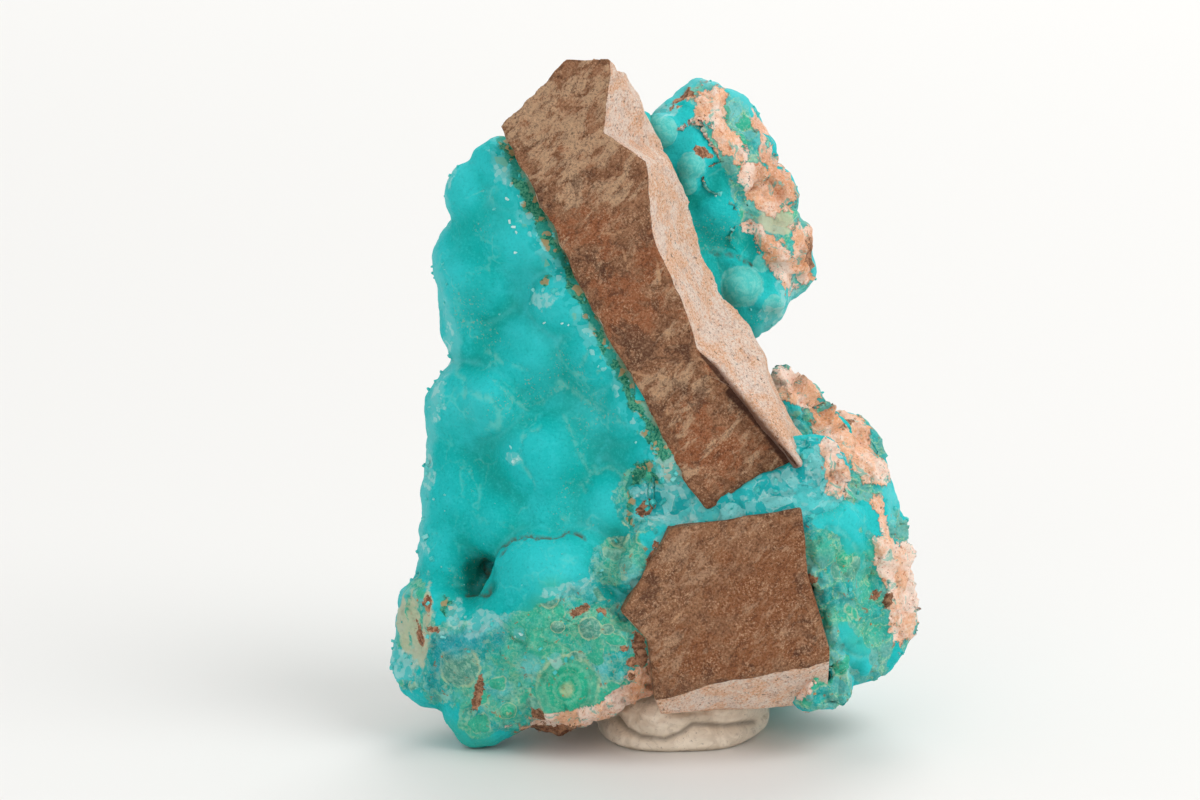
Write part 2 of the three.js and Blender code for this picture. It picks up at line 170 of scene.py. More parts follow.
def in_frame(points):
    """Where points come in the camera's frame: how far across and down, over how far ahead they are."""
    away = points - CAMERA
    ahead = away @ FORWARD
    return np.stack([FRAME_WIDE / 2 + FOCAL * (away @ ACROSS) / ahead,
                     FRAME_HIGH / 2 - FOCAL * (away @ ABOVE) / ahead], -1)


# ---- repeatable randomness, as whole arrays ----------------------------------------------------------------

def dice(cell, seed):
    """A repeatable number from 0 to 1 for each cell of a lattice: its whole numbers are multiplied by large
    odd numbers and folded over themselves."""
    x, y, z = np.moveaxis(cell.astype(np.int64), -1, 0)
    mixed = (x * 73856093) ^ (y * 19349663) ^ (z * 83492791) ^ ((seed + 1) * 668265263)
    mixed = (mixed & 0xFFFFFFFF).astype(np.uint64)
    for fold, odd in ((15, 2246822519), (13, 3266489917)):
        mixed = ((mixed ^ (mixed >> np.uint64(fold))) * np.uint64(odd)) & np.uint64(0xFFFFFFFF)
    return (mixed ^ (mixed >> np.uint64(16))).astype(np.float64) / 2**32


def shares(along):
    """The eight corners of a cell, each with its share of a place that lies so far along the cell."""
    for corner in np.ndindex(2, 2, 2):
        yield np.array(corner), np.prod(np.where(np.array(corner), along, 1 - along), -1)


def hills(points, size, seed=0, layers=1):
    """Smooth random hills from -1 to 1: random heights at the corners of a lattice of that size, joined by
    S-shaped slopes. Each further layer has half the size and half the height."""
    total, height, size = 0, 1.0, float(size)
    for layer in range(layers):
        cell = np.floor(points / size)
        along = points / size - cell
        along = along * along * (3 - 2 * along)
        value = sum(share * dice(cell + corner, seed + 7 * layer) for corner, share in shares(along))
        total = total + height * (2 * value - 1)
        height, size = height / 2, size / 2
    return total


def centres(points, size, seed):
    """One centre lies somewhere in each cell of a lattice of that size. For each of the 27 cells round the
    points: the cell, and the way to the points from its centre, counted in sizes."""
    place = points / size
    cell = np.floor(place)
    for step in np.ndindex(3, 3, 3):
        there = cell + np.array(step) - 1
        yield there, place - (there + np.stack([dice(there, seed + i) for i in range(3)], -1))


def pebbles(points, size, seed=0):
    """How far the nearest centre is, counted in sizes, and that centre's own random number."""
    nearest, own = np.full(len(points), 9.0), np.zeros(len(points))
    for there, away in centres(points, size, seed):
        own = np.where(length(away) < nearest, dice(there, seed + 3), own)
        nearest = np.minimum(nearest, length(away))
    return nearest, own


def splinters(points, size, seed=0):
    """The height of a surface broken into tilted facets: in the cell of each centre, how far a point lies
    along that centre's own random direction."""
    nearest, height = np.full(len(points), 9.0), np.zeros(len(points))
    for there, away in centres(points, size, seed):
        tilt = np.stack([dice(there, seed + 3 + i) for i in range(3)], -1) * 2 - 1
        height = np.where(length(away) < nearest, (away * tilt).sum(-1), height)
        nearest = np.minimum(nearest, length(away))
    return height


def length(vectors):
    return np.sqrt((vectors * vectors).sum(-1))


def unit(vector):
    vector = np.asarray(vector, float)
    return vector / length(vector)[..., None]


def ramp(value, low, high):
    """0 below low, 1 above high, and an S-shaped rise between them."""
    along = np.clip((value - low) / (high - low), 0, 1)
    return along * along * (3 - 2 * along)


# ---- solids as distances, and the skin round them --------------------------------------------------------

class Lattice:
    """Evenly spaced sample points in a box, for working out how far each lies outside a solid."""

    def __init__(self, low, high, pitch):
        self.low, self.pitch = np.array(low, float), pitch
        self.axes = [np.arange(a, b + pitch, pitch) for a, b in zip(low, high)]
        self.shape = tuple(len(axis) for axis in self.axes)

    def points(self, window=(slice(None),) * 3):
        axes = [axis[cut] for axis, cut in zip(self.axes, window)]
        return np.stack(np.meshgrid(*axes, indexing="ij"), -1)

    def window(self, middle, reach):
        """The slices of the lattice within reach of a middle, along each axis."""
        reach = np.broadcast_to(reach, 3)
        return tuple(slice(*np.searchsorted(axis, (m - r, m + r)))
                     for axis, m, r in zip(self.axes, middle, reach))

    def beyond(self, face):
        """How far each sample point is in front of a face: its way from the face's point, measured along
        the way that the face looks."""
        point, facing = face
        x, y, z = (way * (axis - at) for way, axis, at in zip(facing, self.axes, point))
        return x[:, None, None] + y[:, None] + z

    def reading(self, field, points):
        """A field read between the sample points: the eight round each place, shared by nearness."""
        place = np.clip((points - self.low) / self.pitch, 0, np.array(self.shape) - 1.001)
        cell = place.astype(int)
        return sum(share * field[tuple((cell + corner).T)] for corner, share in shares(place - cell))

    def skin(self, field):
        """The closed skin where a field passes through nought.

        Each step between neighbouring sample points that crosses the skin gives a crossing place and a
        four-sided face between the four small cubes round that step, turned to look outwards. A cube's
        point is the mean of the crossing places on its edges."""
        corners, places = [], []
        for axis in range(3):
            ahead, side, up = np.roll(np.eye(3, dtype=int), -axis, 0)
            here = tuple(slice(0, n - step) for n, step in zip(self.shape, ahead))
            there = tuple(slice(step, n) for n, step in zip(self.shape, ahead))
            where = np.argwhere((field[here] < 0) != (field[there] < 0))
            near, far = field[tuple(where.T)], field[tuple((where + ahead).T)]
            ring = np.stack([where, where - side, where - side - up, where - up], 1)
            ring[near > 0] = ring[near > 0][:, ::-1]
            corners.append(np.ravel_multi_index(tuple(np.moveaxis(ring, -1, 0)), self.shape))
            places.append(np.repeat((where + np.outer(near / (near - far), ahead))[:, None], 4, 1))
        corners, places = np.concatenate(corners), np.concatenate(places).reshape(-1, 3)
        faces = np.unique(corners, return_inverse=True)[1].reshape(corners.shape)
        tally = np.bincount(faces.ravel())
        points = np.stack([np.bincount(faces.ravel(), places[:, i]) / tally for i in range(3)], -1)
        return self.low + points * self.pitch, faces


def looks(points, faces):
    """The way the skin looks at each point: the sum of its faces' directions, weighted by their size."""
    a, b, c, d = np.moveaxis(points[faces], 1, 0)
    way = np.cross(c - a, d - b)
    return unit(np.stack([np.bincount(faces.ravel(), np.repeat(way[:, i], 4)) for i in range(3)], -1))


def melted(lattice, balls, bodies=(), melt=MELT):
    """How far each sample point is outside balls melted into one another.

    Each ball adds e to the power of minus its distance over the melt, and minus the melt times the
    logarithm of the sum is the distance to the whole. An egg-shaped body is measured in its own
    proportions."""
    total = np.full(lattice.shape, 1e-9, np.float32)
    for x, y, z, radius in balls:
        window = lattice.window((x, y, z), radius + 6 * melt)
        away = length(lattice.points(window) - (x, y, z))
        total[window] += np.exp((radius - away) / melt - TRIM)
    for middle, half in bodies:
        middle, half = np.array(middle, float), np.array(half, float)
        window = lattice.window(middle, half + 6 * melt)
        away = lattice.points(window) - middle
        stretch = length(away / half)
        slope = np.maximum(length(away / half**2), 1e-6)
        total[window] += np.exp(np.minimum(-stretch * (stretch - 1) / slope, 8) / melt - TRIM)
    return -melt * np.log(total)


# ---- the two pieces of rock ----------------------------------------------------------------------------

def front_of(rock):
    """A function from (right, up, outward) on a rock's front face to a point, and those three directions."""
    out = unit(rock["facing"])
    right = unit(np.cross((0, 0, 1), out))
    up = np.cross(out, right)
    ways = np.stack([right, up, out])
    return (lambda place: np.array(rock["corner"]) + np.array((*place, 0, 0)[:3]) @ ways), ways


def edge_face(rock, start, end, lean):
    """The broken face along an edge from start to end, looking left of that line and leaning with depth."""
    at, (right, up, out) = front_of(rock)
    along = unit(np.subtract(end[:2], start[:2]))
    return at(start[:2]), unit(-along[1] * right + along[0] * up + lean * out)


def face_through(rock, places, towards):
    at, _ = front_of(rock)
    a, b, c = (at(place) for place in places)
    facing = unit(np.cross(b - a, c - a))
    return a, facing if facing @ towards > 0 else -facing


def faces_of(rock):
    """A rock's front face, its other faces, and the faces of each cut."""
    at, (_, up, out) = front_of(rock)
    outline = rock["outline"]
    faces = [edge_face(rock, a, b, a[2]) for a, b in zip(outline, outline[1:] + outline[:1])]
    faces.append((at((0, 0, -rock["thickness"])), -out))
    if "underside" in rock:
        faces.append(face_through(rock, rock["underside"], -up))
    cuts = [[edge_face(rock, *face) for face in cut] for cut in rock["cuts"]]
    if "floor" in rock:
        step = [face_through(rock, rock["floor"], out)]
        cuts.append(step + [edge_face(rock, *face) for face in rock["ledges"]])
    return (at((0, 0)), out), faces, cuts


def rock_distance(lattice, rock, front_wear=0, break_wear=0):
    """How far each sample point is outside a rock: the largest distance in front of any of its faces, and
    at least the smallest distance in front of a cut's faces. The wear is added to those distances, and
    so is a cut's scoop: a bell-shaped hollow that is deepest at one height on the rock's front."""
    front, faces, cuts = faces_of(rock)
    scoops = {cut: scoop for cut, *scoop in rock.get("scoops", ())}
    up = front_of(rock)[1][1]
    outside = lattice.beyond(front) + front_wear
    for face in faces:
        outside = np.maximum(outside, lattice.beyond(face) + break_wear)
    for number, cut in enumerate(cuts):
        gone = np.minimum.reduce([lattice.beyond(face) for face in cut]) + 0.6 * break_wear
        if number in scoops:
            middle, half, deep = scoops[number]
            gone = gone + deep * np.exp(-((lattice.beyond((rock["corner"], up)) - middle) / half) ** 2)
        outside = np.maximum(outside, gone)
    return outside


# ---- handing a piece to Blender --------------------------------------------------------------------------

def piece_of(name, points, faces, readings, finish, nodes=()):
    """Makes a named piece from points in millimetres and faces, with its readings kept as attributes."""
    mesh = bpy.data.meshes.new(name)
    places = (points + SHIFT) * MILLIMETRE
    mesh.vertices.add(len(places))
    mesh.vertices.foreach_set("co", places.astype(np.float32).ravel())
    mesh.loops.add(faces.size)
    mesh.loops.foreach_set("vertex_index", faces.ravel().astype(np.int32))
    mesh.polygons.add(len(faces))
    mesh.polygons.foreach_set("loop_start", np.arange(0, faces.size, faces.shape[1], dtype=np.int32))
    mesh.update(calc_edges=True)
    mesh.validate()
    mesh.polygons.foreach_set("use_smooth", np.ones(len(mesh.polygons), bool))
    for key, values in readings.items():
        mesh.attributes.new(key, "FLOAT", "POINT").data.foreach_set("value", values.astype(np.float32))
    mesh.materials.append(finish)
    piece = bpy.data.objects.new(name, mesh)
    bpy.context.scene.collection.objects.link(piece)
    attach(piece, "root")
    if nodes:
        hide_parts(*nodes)
    return piece


# ---- shader maths ----------------------------------------------------------------------------------------

class Wire:
    """A value that comes out of a node. Python's signs on it add Math nodes."""

    def __init__(self, finish, socket):
        self.finish, self.socket = finish, socket

    def _sum(self, operation, a, b):
        return self.finish.add("ShaderNodeMath", {"operation": operation}, {0: a, 1: b})

    def __add__(self, other):
        return self._sum("ADD", self, other)

    def __sub__(self, other):
        return self._sum("SUBTRACT", self, other)

    def __rsub__(self, other):
        return self._sum("SUBTRACT", other, self)

    def __mul__(self, other):
        return self._sum("MULTIPLY", self, other)

    __radd__, __rmul__ = __add__, __mul__


def paint(red, green, blue):
    """A colour mixed from 0 to 255 values of a screen, as the light that it stands for."""
    value = np.array([red, green, blue]) / 255
    light = np.where(value < 0.04045, value / 12.92, ((value + 0.055) / 1.055) ** 2.4)
    return (*light.tolist(), 1.0)


class Finish:
    """The finish of one kind of surface: a material whose nodes are added one by one. Sizes are in
    millimetres on the piece."""

    def __init__(self, name, **shader):
        self.material = bpy.data.materials.new(name)
        self.material.use_nodes = True
        self.tree = self.material.node_tree
        self.shader = self.tree.nodes["Principled BSDF"]
        for socket, value in shader.items():
            self.shader.inputs[socket.replace("_", " ")].default_value = value
        self.place = self.add("ShaderNodeTexCoord", out="Object")

    def add(self, kind, settings=None, inputs=None, out=0):
        """One node: its settings first, then its sockets' values or links. Gives one of its outputs."""
        node = self.tree.nodes.new(kind)
        for key, value in (settings or {}).items():
            setattr(node, key, value)
        for key, value in (inputs or {}).items():
            if isinstance(value, Wire):
                self.tree.links.new(value.socket, node.inputs[key])
            else:
                node.inputs[key].default_value = value
        return Wire(self, node.outputs[out])

    def reading(self, name):
        return self.add("ShaderNodeAttribute", {"attribute_name": name}, out="Fac")

    def noise(self, size, detail=3.0, roughness=0.5, distortion=0.0, place=None, out="Fac"):
        return self.add("ShaderNodeTexNoise", None, {
            "Vector": place or self.place, "Scale": 1000.0 / size, "Detail": detail,
            "Roughness": roughness, "Distortion": distortion}, out)

    def cells(self, size, place=None, feature="DISTANCE_TO_EDGE", out="Distance"):
        """How far inside the cell of a scattered centre a place lies."""
        return self.add("ShaderNodeTexVoronoi", {"feature": feature}, {
            "Vector": place or self.place, "Scale": 1000.0 / size}, out)

    def chance(self, size, place=None):
        """A random number for each cell."""
        colour = self.cells(size, place, "F1", "Color")
        return self.add("ShaderNodeSeparateColor", None, {"Color": colour}, 0)

    def warped(self, size, amount):
        """Object coordinates pushed about by up to an amount, in hills of a size."""
        push = self.noise(size, 2.0, out="Color")
        centred = self.add("ShaderNodeVectorMath", {"operation": "SUBTRACT"},
                           {0: push, 1: (0.5, 0.5, 0.5)})
        scaled = self.add("ShaderNodeVectorMath", {"operation": "SCALE"},
                          {0: centred, "Scale": 2 * amount * MILLIMETRE})
        return self.add("ShaderNodeVectorMath", {"operation": "ADD"}, {0: self.place, 1: scaled})

    def rise(self, value, low, high):
        """0 below low, 1 above high, and an S-shaped rise between. With low above high it falls."""
        return self.add("ShaderNodeMapRange", {"interpolation_type": "SMOOTHSTEP"}, {
            "Value": value, "From Min": low, "From Max": high, "To Min": 0.0, "To Max": 1.0})

    def mix(self, share, first, second):
        """From the first colour to the second by a share. Colours are wires or screen values."""
        first, second = (c if isinstance(c, Wire) else paint(*c) for c in (first, second))
        return self.add("ShaderNodeMix", {"data_type": "RGBA"}, {0: share, 6: first, 7: second}, 2)

    def layers(self, colour, *tints):
        """Tints laid over a colour, one after another. With each tint goes how much of it shows, and where
        it comes in: a value and the two bounds that the value rises or falls between."""
        for tint, share, *coming in tints:
            if coming:
                share = self.rise(*coming) * share
            colour = self.mix(share, colour, tint)
        return colour

    def bump(self, height, depth, below=None):
        """Relief from a height, its depth in millimetres, on top of another relief."""
        inputs = {"Height": height, "Distance": depth * MILLIMETRE, "Strength": 1.0}
        if below:
            inputs["Normal"] = below
        return self.add("ShaderNodeBump", None, inputs)

    def into(self, **sockets):
        for name, wire in sockets.items():
            self.tree.links.new(wire.socket, self.shader.inputs[name.replace("_", " ")])
        return self.material


# ---- finishes --------------------------------------------------------------------------------------------

def blue_green_druse():
    """Waxy blue-green crust with a velvet of tiny crystals, its edge band along the rock, broken faces with
    ringed nodules and pale lace, and patches of bare rock."""
    coat = Finish("blue_green_druse", Specular_IOR_Level=0.1, Subsurface_Weight=0.12,
                  Subsurface_Scale=0.0015, Subsurface_Radius=(0.2, 1.0, 1.0))
    rise, noise, reading = coat.rise, coat.noise, coat.reading
    openness_shade_, deep, broken, bluer = (reading(key) for key in ("open", "deep", "broken", "bluer"))
    rim, vein, leaf = reading("rim"), reading("vein"), reading("leaf")
    fine, cloud = noise(0.36, 4.0, 0.75), noise(2.0, 5.0, 0.7)
    edge, ragged = noise(1.6, 5.0, 0.65) - 0.5, noise(0.7, 4.0, 0.7) - 0.5
    lace = noise(0.8, 5.0, 0.75, 0.6)
    grains = coat.chance(0.75, coat.warped(0.6, 0.25))
    chips = coat.chance(1.5, coat.warped(0.8, 0.4))
    # the crust: painted shade in its hollows and painted light on its crests, pure on the slopes, lighter in
    # clouds and a few soft lines
    crest = reading("crest") + 0.3 * (noise(4.0, 3.0) - 0.5)
    filmed = rise(cloud, 0.42, 0.56) * rise(noise(6.0, 2.0), 0.44, 0.6)
    specked = rise(noise(6.0, 3.0) + 0.4 * deep - 0.3 * openness_shade_, 0.32, 0.52)
    crust = coat.layers(
        (14, 168, 161),
        # painted light: lighter towards the crests of the lobes
        ((8, 181, 178), 1, crest, 0.15, 0.6),
        ((44, 200, 204), 0.5, crest, 0.5, 0.95),
        # painted shade: darker where the skin is closed in by the mineral round it
        ((6, 140, 126), 0.5, openness_shade_, 0.9, 0.35),
        ((48, 204, 208), 0.55, noise(9.0, 5.0, 0.6), 0.45, 0.62),
        ((62, 208, 212), 0.3, cloud, 0.52, 0.68),
        ((62, 216, 212), 0.28, fine, 0.52, 0.66),
        ((2, 136, 130), 0.35, fine, 0.47, 0.34),
        # painted shade in the listed deep spots
        ((8, 136, 120), deep * 0.35),
        # painted shadow in the cavity
        ((12, 104, 88), reading("hollow") * 0.55),
        # painted light on the bulges in the listed light spots, and a lighter tone in some of them
        ((84, 212, 216), reading("light") * (0.1 + 0.7 * cloud) * 0.55),
        ((130, 216, 200), filmed * 0.22, coat.cells(7.0, coat.warped(4.0, 4.0)), 0.05, 0.0),
        # painted glow of light through thin edges
        ((104, 206, 210), reading("thin") * 0.6),
        ((130, 212, 196), reading("line") * 0.4, cloud + 0.5 * ragged, 0.40, 0.54),
        ((66, 178, 152), leaf * (0.2 + 0.6 * cloud)),
        ((176, 168, 116), specked * 0.4, noise(0.3, 2.0, 0.6, 0.5), 0.61, 0.67))
    # broken faces: chips and grains of turquoise, green and cream, cut by nodules with pale outlines
    green = rise(noise(6.0, 5.0, 0.65) - 0.06 * bluer, 0.46, 0.54) * (1 - 0.45 * bluer)
    plain = 1 - 0.6 * bluer
    lobed = coat.warped(1.6, 1.0)
    laced = (0.2 + 0.8 * rise(noise(4.5, 3.0), 0.46, 0.58)) * plain
    node, own = reading("node") + 0.25 * edge, reading("own")
    is_node = rise(own, 0.50, 0.53)
    filling = coat.layers((86, 160, 142), ((138, 194, 172), 1, cloud, 0.42, 0.6),
                          ((62, 184, 152), 1, own, 0.7, 0.72))
    nodule, ring = reading("nodule") + 0.5 * edge, reading("ring") + 0.3 * edge
    wave = coat.add("ShaderNodeMath", {"operation": "SINE"}, {0: 20.0 * ring})
    rings = coat.layers((190, 208, 160), ((44, 184, 146), 1, ring, 0.1, 0.3),
                        ((92, 184, 156), 0.7, ring, 0.5, 0.9), ((136, 210, 178), 0.4, wave, 0.0, 1.0))
    face = coat.layers(
        (40, 176, 174),
        ((70, 184, 156), green),
        ((104, 182, 174), bluer, coat.chance(2.6, lobed), 0.2, 0.8),
        ((116, 206, 206), (0.45 - 0.25 * green) * plain, chips, 0.64, 0.67),
        ((30, 160, 150), 0.3 * plain, chips, 0.28, 0.25),
        ((168, 214, 186), 0.35 * plain, grains, 0.74, 0.77),
        ((32, 146, 132), 0.3 * plain, grains, 0.24, 0.21),
        ((62, 190, 154), leaf * (0.35 + 0.5 * cloud)),
        ((118, 210, 212), reading("sky") * (0.4 + 0.6 * cloud)),
        ((178, 212, 184), laced * 0.4, lace, 0.54, 0.62),
        ((22, 146, 138), laced * 0.45, lace, 0.46, 0.38),
        ((170, 208, 170), rise(noise(3.0, 3.0), 0.48, 0.58) * plain * 0.4,
         coat.cells(1.3, coat.warped(1.0, 0.6)), 0.10, 0.0),
        (filling, is_node, node, 0.43, 0.40),
        ((190, 210, 172), is_node * rise(node, 0.38, 0.41) * rise(cloud, 0.46, 0.56) * 0.55,
         node, 0.48, 0.45),
        (coat.mix(rise(lace, 0.44, 0.58), (84, 156, 140), (142, 190, 168)), 1, nodule, 0.96, 0.90),
        ((190, 210, 172), rise(nodule, 0.84, 0.92) * rise(cloud + 0.6 * ragged, 0.36, 0.48) * 0.75,
         nodule, 1.06, 1.0),
        (rings, 1, ring, 0.98, 0.90),
        ((188, 212, 170), rise(ring, 0.86, 0.93) * rise(cloud, 0.38, 0.6) * 0.7, ring, 1.04, 0.98),
        (coat.mix(rise(fine, 0.45, 0.55), (84, 190, 146), (174, 212, 172)),
         (0.3 + 0.7 * bluer) * rise(cloud + 0.5 * ragged, 0.38, 0.52) * 0.7,
         coat.cells(2.6, lobed), 0.10, 0.0),
        (coat.mix(cloud, (8, 138, 158), (36, 178, 186)), reading("ink") * 0.8),
        ((190, 224, 206), 0.2, fine, 0.53, 0.62),
        ((16, 134, 126), 0.3, fine, 0.46, 0.36),
        ((150, 112, 78), 0.7, noise(0.8, 3.0, 0.6, 0.5), 0.64, 0.68))
    # the small balls' skin; the band along the rock, of pale chips, and the green line at its very edge
    pearl, near = reading("pearl") + 0.4 * edge, rim + 0.5 * edge
    mottled = coat.mix(rise(lace, 0.42, 0.60), (92, 196, 186), (140, 214, 200))
    light_band = coat.layers(
        (26, 176, 176), ((64, 198, 200), 1, grains, 0.3, 0.7), ((122, 212, 212), 0.5, chips, 0.60, 0.63),
        ((184, 226, 220), 0.6, grains, 0.88, 0.90), ((150, 188, 140), 0.6, coat.chance(0.9), 0.90, 0.92))
    green_band = coat.layers(
        (20, 112, 92), ((84, 164, 132), 1, fine, 0.42, 0.58), ((44, 166, 156), 0.7, chips, 0.55, 0.6),
        ((186, 152, 108), 0.75, grains, 0.80, 0.82))
    # the vein's blocky crystals, pale crystals, bare rock, and the brown of slivers
    blocky = coat.warped(1.5, 0.5)
    blocks = coat.chance(2.6, blocky)
    vein_colour = coat.layers(
        (32, 178, 182), ((90, 210, 211), 1, blocks, 0.2, 0.6), ((136, 212, 212), 0.7, blocks, 0.66, 0.72),
        ((172, 222, 220), 0.3, grains, 0.84, 0.86), ((124, 202, 190), 0.4, cloud, 0.54, 0.66),
        ((18, 148, 152), 0.4, fine, 0.46, 0.36),
        ((190, 230, 228), rise(cloud, 0.46, 0.58) * 0.5, coat.cells(2.6, blocky), 0.05, 0.0))
    clear = coat.mix(rise(grains, 0.4, 0.6), (112, 206, 206), (184, 226, 222))
    rock = coat.layers(
        (240, 186, 150),
        ((250, 224, 208), 1, noise(4.0, 5.0, 0.65), 0.42, 0.58),
        ((220, 148, 100), reading("tawny") * (0.5 + 0.5 * cloud)),
        ((252, 232, 216), 0.6, fine, 0.52, 0.66),
        ((190, 124, 88), 0.7, fine, 0.45, 0.34),
        ((196, 120, 80), 0.8, noise(1.3, 4.0, 0.7), 0.40, 0.32),
        ((112, 190, 176), 0.75, noise(2.0, 4.0, 0.7, 0.8), 0.57, 0.63),
        ((96, 64, 50), 0.7, noise(0.9, 3.0, 0.7), 0.36, 0.31))
    bare = rise(reading("rind") + 1.1 * edge + 0.4 * (noise(4.0, 2.0) - 0.5) + 0.4 * ragged, 0.46, 0.52)
    brown = coat.layers((116, 78, 58), ((192, 142, 110), 1, lace, 0.4, 0.6),
                        ((84, 54, 42), 0.6, fine, 0.46, 0.38))
    colour = coat.layers(
        crust,
        (face, 1, broken + 0.9 * edge, 0.42, 0.52),
        # pale flakes along the silhouette, lighter partly as a painted glow of light through the thin edge
        ((108, 208, 210), 0.55, reading("flake") + 0.9 * edge, 0.35, 0.9),
        (mottled, 0.6, pearl, 1.02, 0.84),
        ((160, 218, 208), rise(pearl, 0.80, 0.94) * rise(cloud, 0.42, 0.56) * 0.35, pearl, 1.06, 0.98),
        ((206, 202, 170), 0.75, reading("streak") + 1.4 * edge, 0.3, 0.6),
        (light_band, 0.7, near + 0.9 * (noise(5.0, 3.0) - 0.5), 0.28, 0.42),
        (green_band, 1, near + 0.8 * (noise(3.5, 3.0) - 0.5), 0.59, 0.67),
        ((160, 186, 160), 0.5, near, 0.90, 0.95),
        (green_band, 1, reading("green") + 1.2 * edge, 0.45, 0.55),
        (vein_colour, 1, vein + edge, 0.4, 0.6),
        (clear, 0.5, reading("pale") + 1.4 * edge, 0.5, 0.7),
        (rock, bare),
        ((100, 78, 50), reading("seam") * 0.9, ragged, -0.12, 0.0),
        (brown, 1, reading("sliver") + 1.0 * edge + 0.8 * ragged, 0.47, 0.53))
    crystalline = rise(broken * plain + rim + vein, 0.3, 0.9)
    relief = coat.bump(fine, 0.08)
    relief = coat.bump(cloud * (0.2 + 0.8 * broken) + noise(1.1, 4.0, 0.7) * bare, 0.45, relief)
    relief = coat.bump((chips + 0.4 * grains) * crystalline, 0.11, relief)
    return coat.into(Base_Color=colour, Normal=relief,
                     Roughness=0.62 - 0.3 * rise(coat.chance(0.35), 0.75, 0.9))


def host_rock(name, dark, middle, light, rust):
    """Brown weathered skin on the old face, with tan and rusty patches and dark smudges, some of them painted
    shade, and a painted shadow with some dark stain along the slab's ledge; pinkish tan and grainy where the
    rock is broken. A patch's reading makes flecks of its colour more and more common towards its middle."""
    stone = Finish(name, Roughness=0.8, Specular_IOR_Level=0.25)
    rise, noise, reading = stone.rise, stone.noise, stone.reading
    streaky = stone.add("ShaderNodeMapping", {"vector_type": "TEXTURE"}, {
        "Vector": stone.place, "Rotation": (0.0, -0.8, 0.0), "Scale": (2.0, 1.0, 0.8)})
    grain, coarse = noise(0.3, 4.0, 0.85), noise(1.0, 6.0, 0.8, 0.0, streaky)
    stains, flecks = noise(3.6, 8.0, 0.72, 0.4), noise(2.4, 8.0, 0.72, 0.3, streaky)
    smudges = noise(3.0, 8.0, 0.74, 0.8, stone.warped(4.0, 2.0))
    speckled = 0.4 + 0.6 * rise(noise(2.5, 4.0, 0.6), 0.44, 0.6)
    skin = stone.layers(
        dark,
        (middle, 1, noise(1.8, 8.0, 0.75), 0.42, 0.58),
        (rust, 0.75, stains + 0.2 * reading("rusty"), 0.56, 0.66),
        (light, 0.7, flecks + 0.11 * reading("tan"), 0.54, 0.63),
        # dark smudges, with painted shade where the listed spots lie
        ((90, 58, 43), 0.65, smudges + 0.26 * reading("smudges_and_shade"), 0.62, 0.70),
        ((196, 150, 116), 0.5, coarse, 0.54, 0.61),
        ((84, 52, 38), 0.5, coarse, 0.46, 0.39),
        ((230, 190, 152), speckled * 0.7, grain, 0.54, 0.61),
        ((60, 36, 27), 0.6, grain, 0.47, 0.40),
        ((214, 166, 126), 0.7, reading("crack") * rise(coarse, 0.36, 0.55), 0.15, 0.8),
        # painted shadow with some dark stain along the slab's ledge
        ((66, 34, 22), 0.85, reading("ledge_shade_and_stain") + 0.5 * (coarse - 0.5), 0.3, 0.6))
    inner = stone.layers(
        (244, 194, 158),
        ((250, 224, 206), 1, noise(4.0, 5.0, 0.65, 0.5), 0.42, 0.58),
        ((244, 182, 136), 0.7, coarse, 0.52, 0.60),
        ((212, 180, 164), 0.5, noise(1.8, 6.0, 0.75), 0.46, 0.40),
        ((255, 242, 230), 0.8, grain, 0.52, 0.60),
        ((160, 112, 90), 0.75, grain, 0.46, 0.38),
        ((104, 72, 58), 0.75, noise(0.8, 3.0, 0.7), 0.37, 0.31),
        # painted shadow with some dark stain along the slab's ledge
        ((106, 62, 42), reading("ledge_shade_and_stain") * 0.85))
    fresh = rise(reading("fresh") + 0.6 * (noise(1.2, 4.0, 0.6) - 0.5), 0.44, 0.56)
    relief = stone.bump(coarse + 0.6 * noise(0.8, 3.0, 0.7) * fresh, 0.55, stone.bump(grain, 0.10))
    return stone.into(Base_Color=stone.mix(fresh, skin, inner), Normal=relief)


def pressed_putty():
    """Dull beige with smears and streaks, and painted shade in the creases."""
    putty = Finish("pressed_putty", Roughness=0.5, Specular_IOR_Level=0.3)
    smear, streaks = putty.noise(5.0, 4.0, 0.5, 1.5), putty.noise(2.0, 5.0, 0.7, 2.5)
    colour = putty.layers(
        (214, 197, 176),
        ((246, 231, 211), 1, smear, 0.3, 0.7),
        ((164, 144, 126), 0.35, streaks, 0.52, 0.66),
        ((120, 100, 86), 0.5, putty.noise(0.5, 4.0, 0.7), 0.62, 0.68),
        # painted shade in the creases
        ((92, 74, 62), putty.reading("crease") * 0.75))
    return putty.into(Base_Color=colour, Normal=putty.bump(streaks, 0.15, putty.bump(smear, 0.3)))


def clear_crystals():
    """Turquoise to white as the tone goes from 0 to 1, green below 0 and brown far below it."""
    crystal = Finish("clear_crystals", Roughness=0.3, Specular_IOR_Level=0.35, Subsurface_Weight=0.1,
                     Subsurface_Scale=0.001, Subsurface_Radius=(0.4, 1.0, 1.0))
    tone = crystal.reading("tone")
    return crystal.into(Base_Color=crystal.layers(
        (14, 160, 160), ((70, 196, 192), 1, tone, 0.0, 0.4), ((140, 216, 212), 1, tone, 0.4, 0.75),
        ((214, 238, 234), 1, tone, 0.75, 1.0), ((74, 164, 122), 1, tone, -0.2, -0.3),
        ((196, 142, 96), 1, tone, -0.7, -0.8)))


# ---- the pieces ------------------------------------------------------------------------------------------

PIXELS = 7.5                   # of the camera's frame to a millimetre on the specimen


def patches(place, spots):
    """How deep in any of the spots a place of the camera's frame lies, in millimetres; below 0 is outside.
    A spot is (across, down, half-width, half-height, turn in degrees)."""
    best = np.full(len(place), -9.0)
    for across, down, wide, high, turn in spots:
        away = place - (across, down)
        c, s = np.cos(np.radians(turn)), np.sin(np.radians(turn))
        out = length(np.stack([away @ (c, s) / wide, away @ (-s, c) / high], -1))
        best = np.maximum(best, (1 - out) * min(wide, high) / PIXELS)
    return best
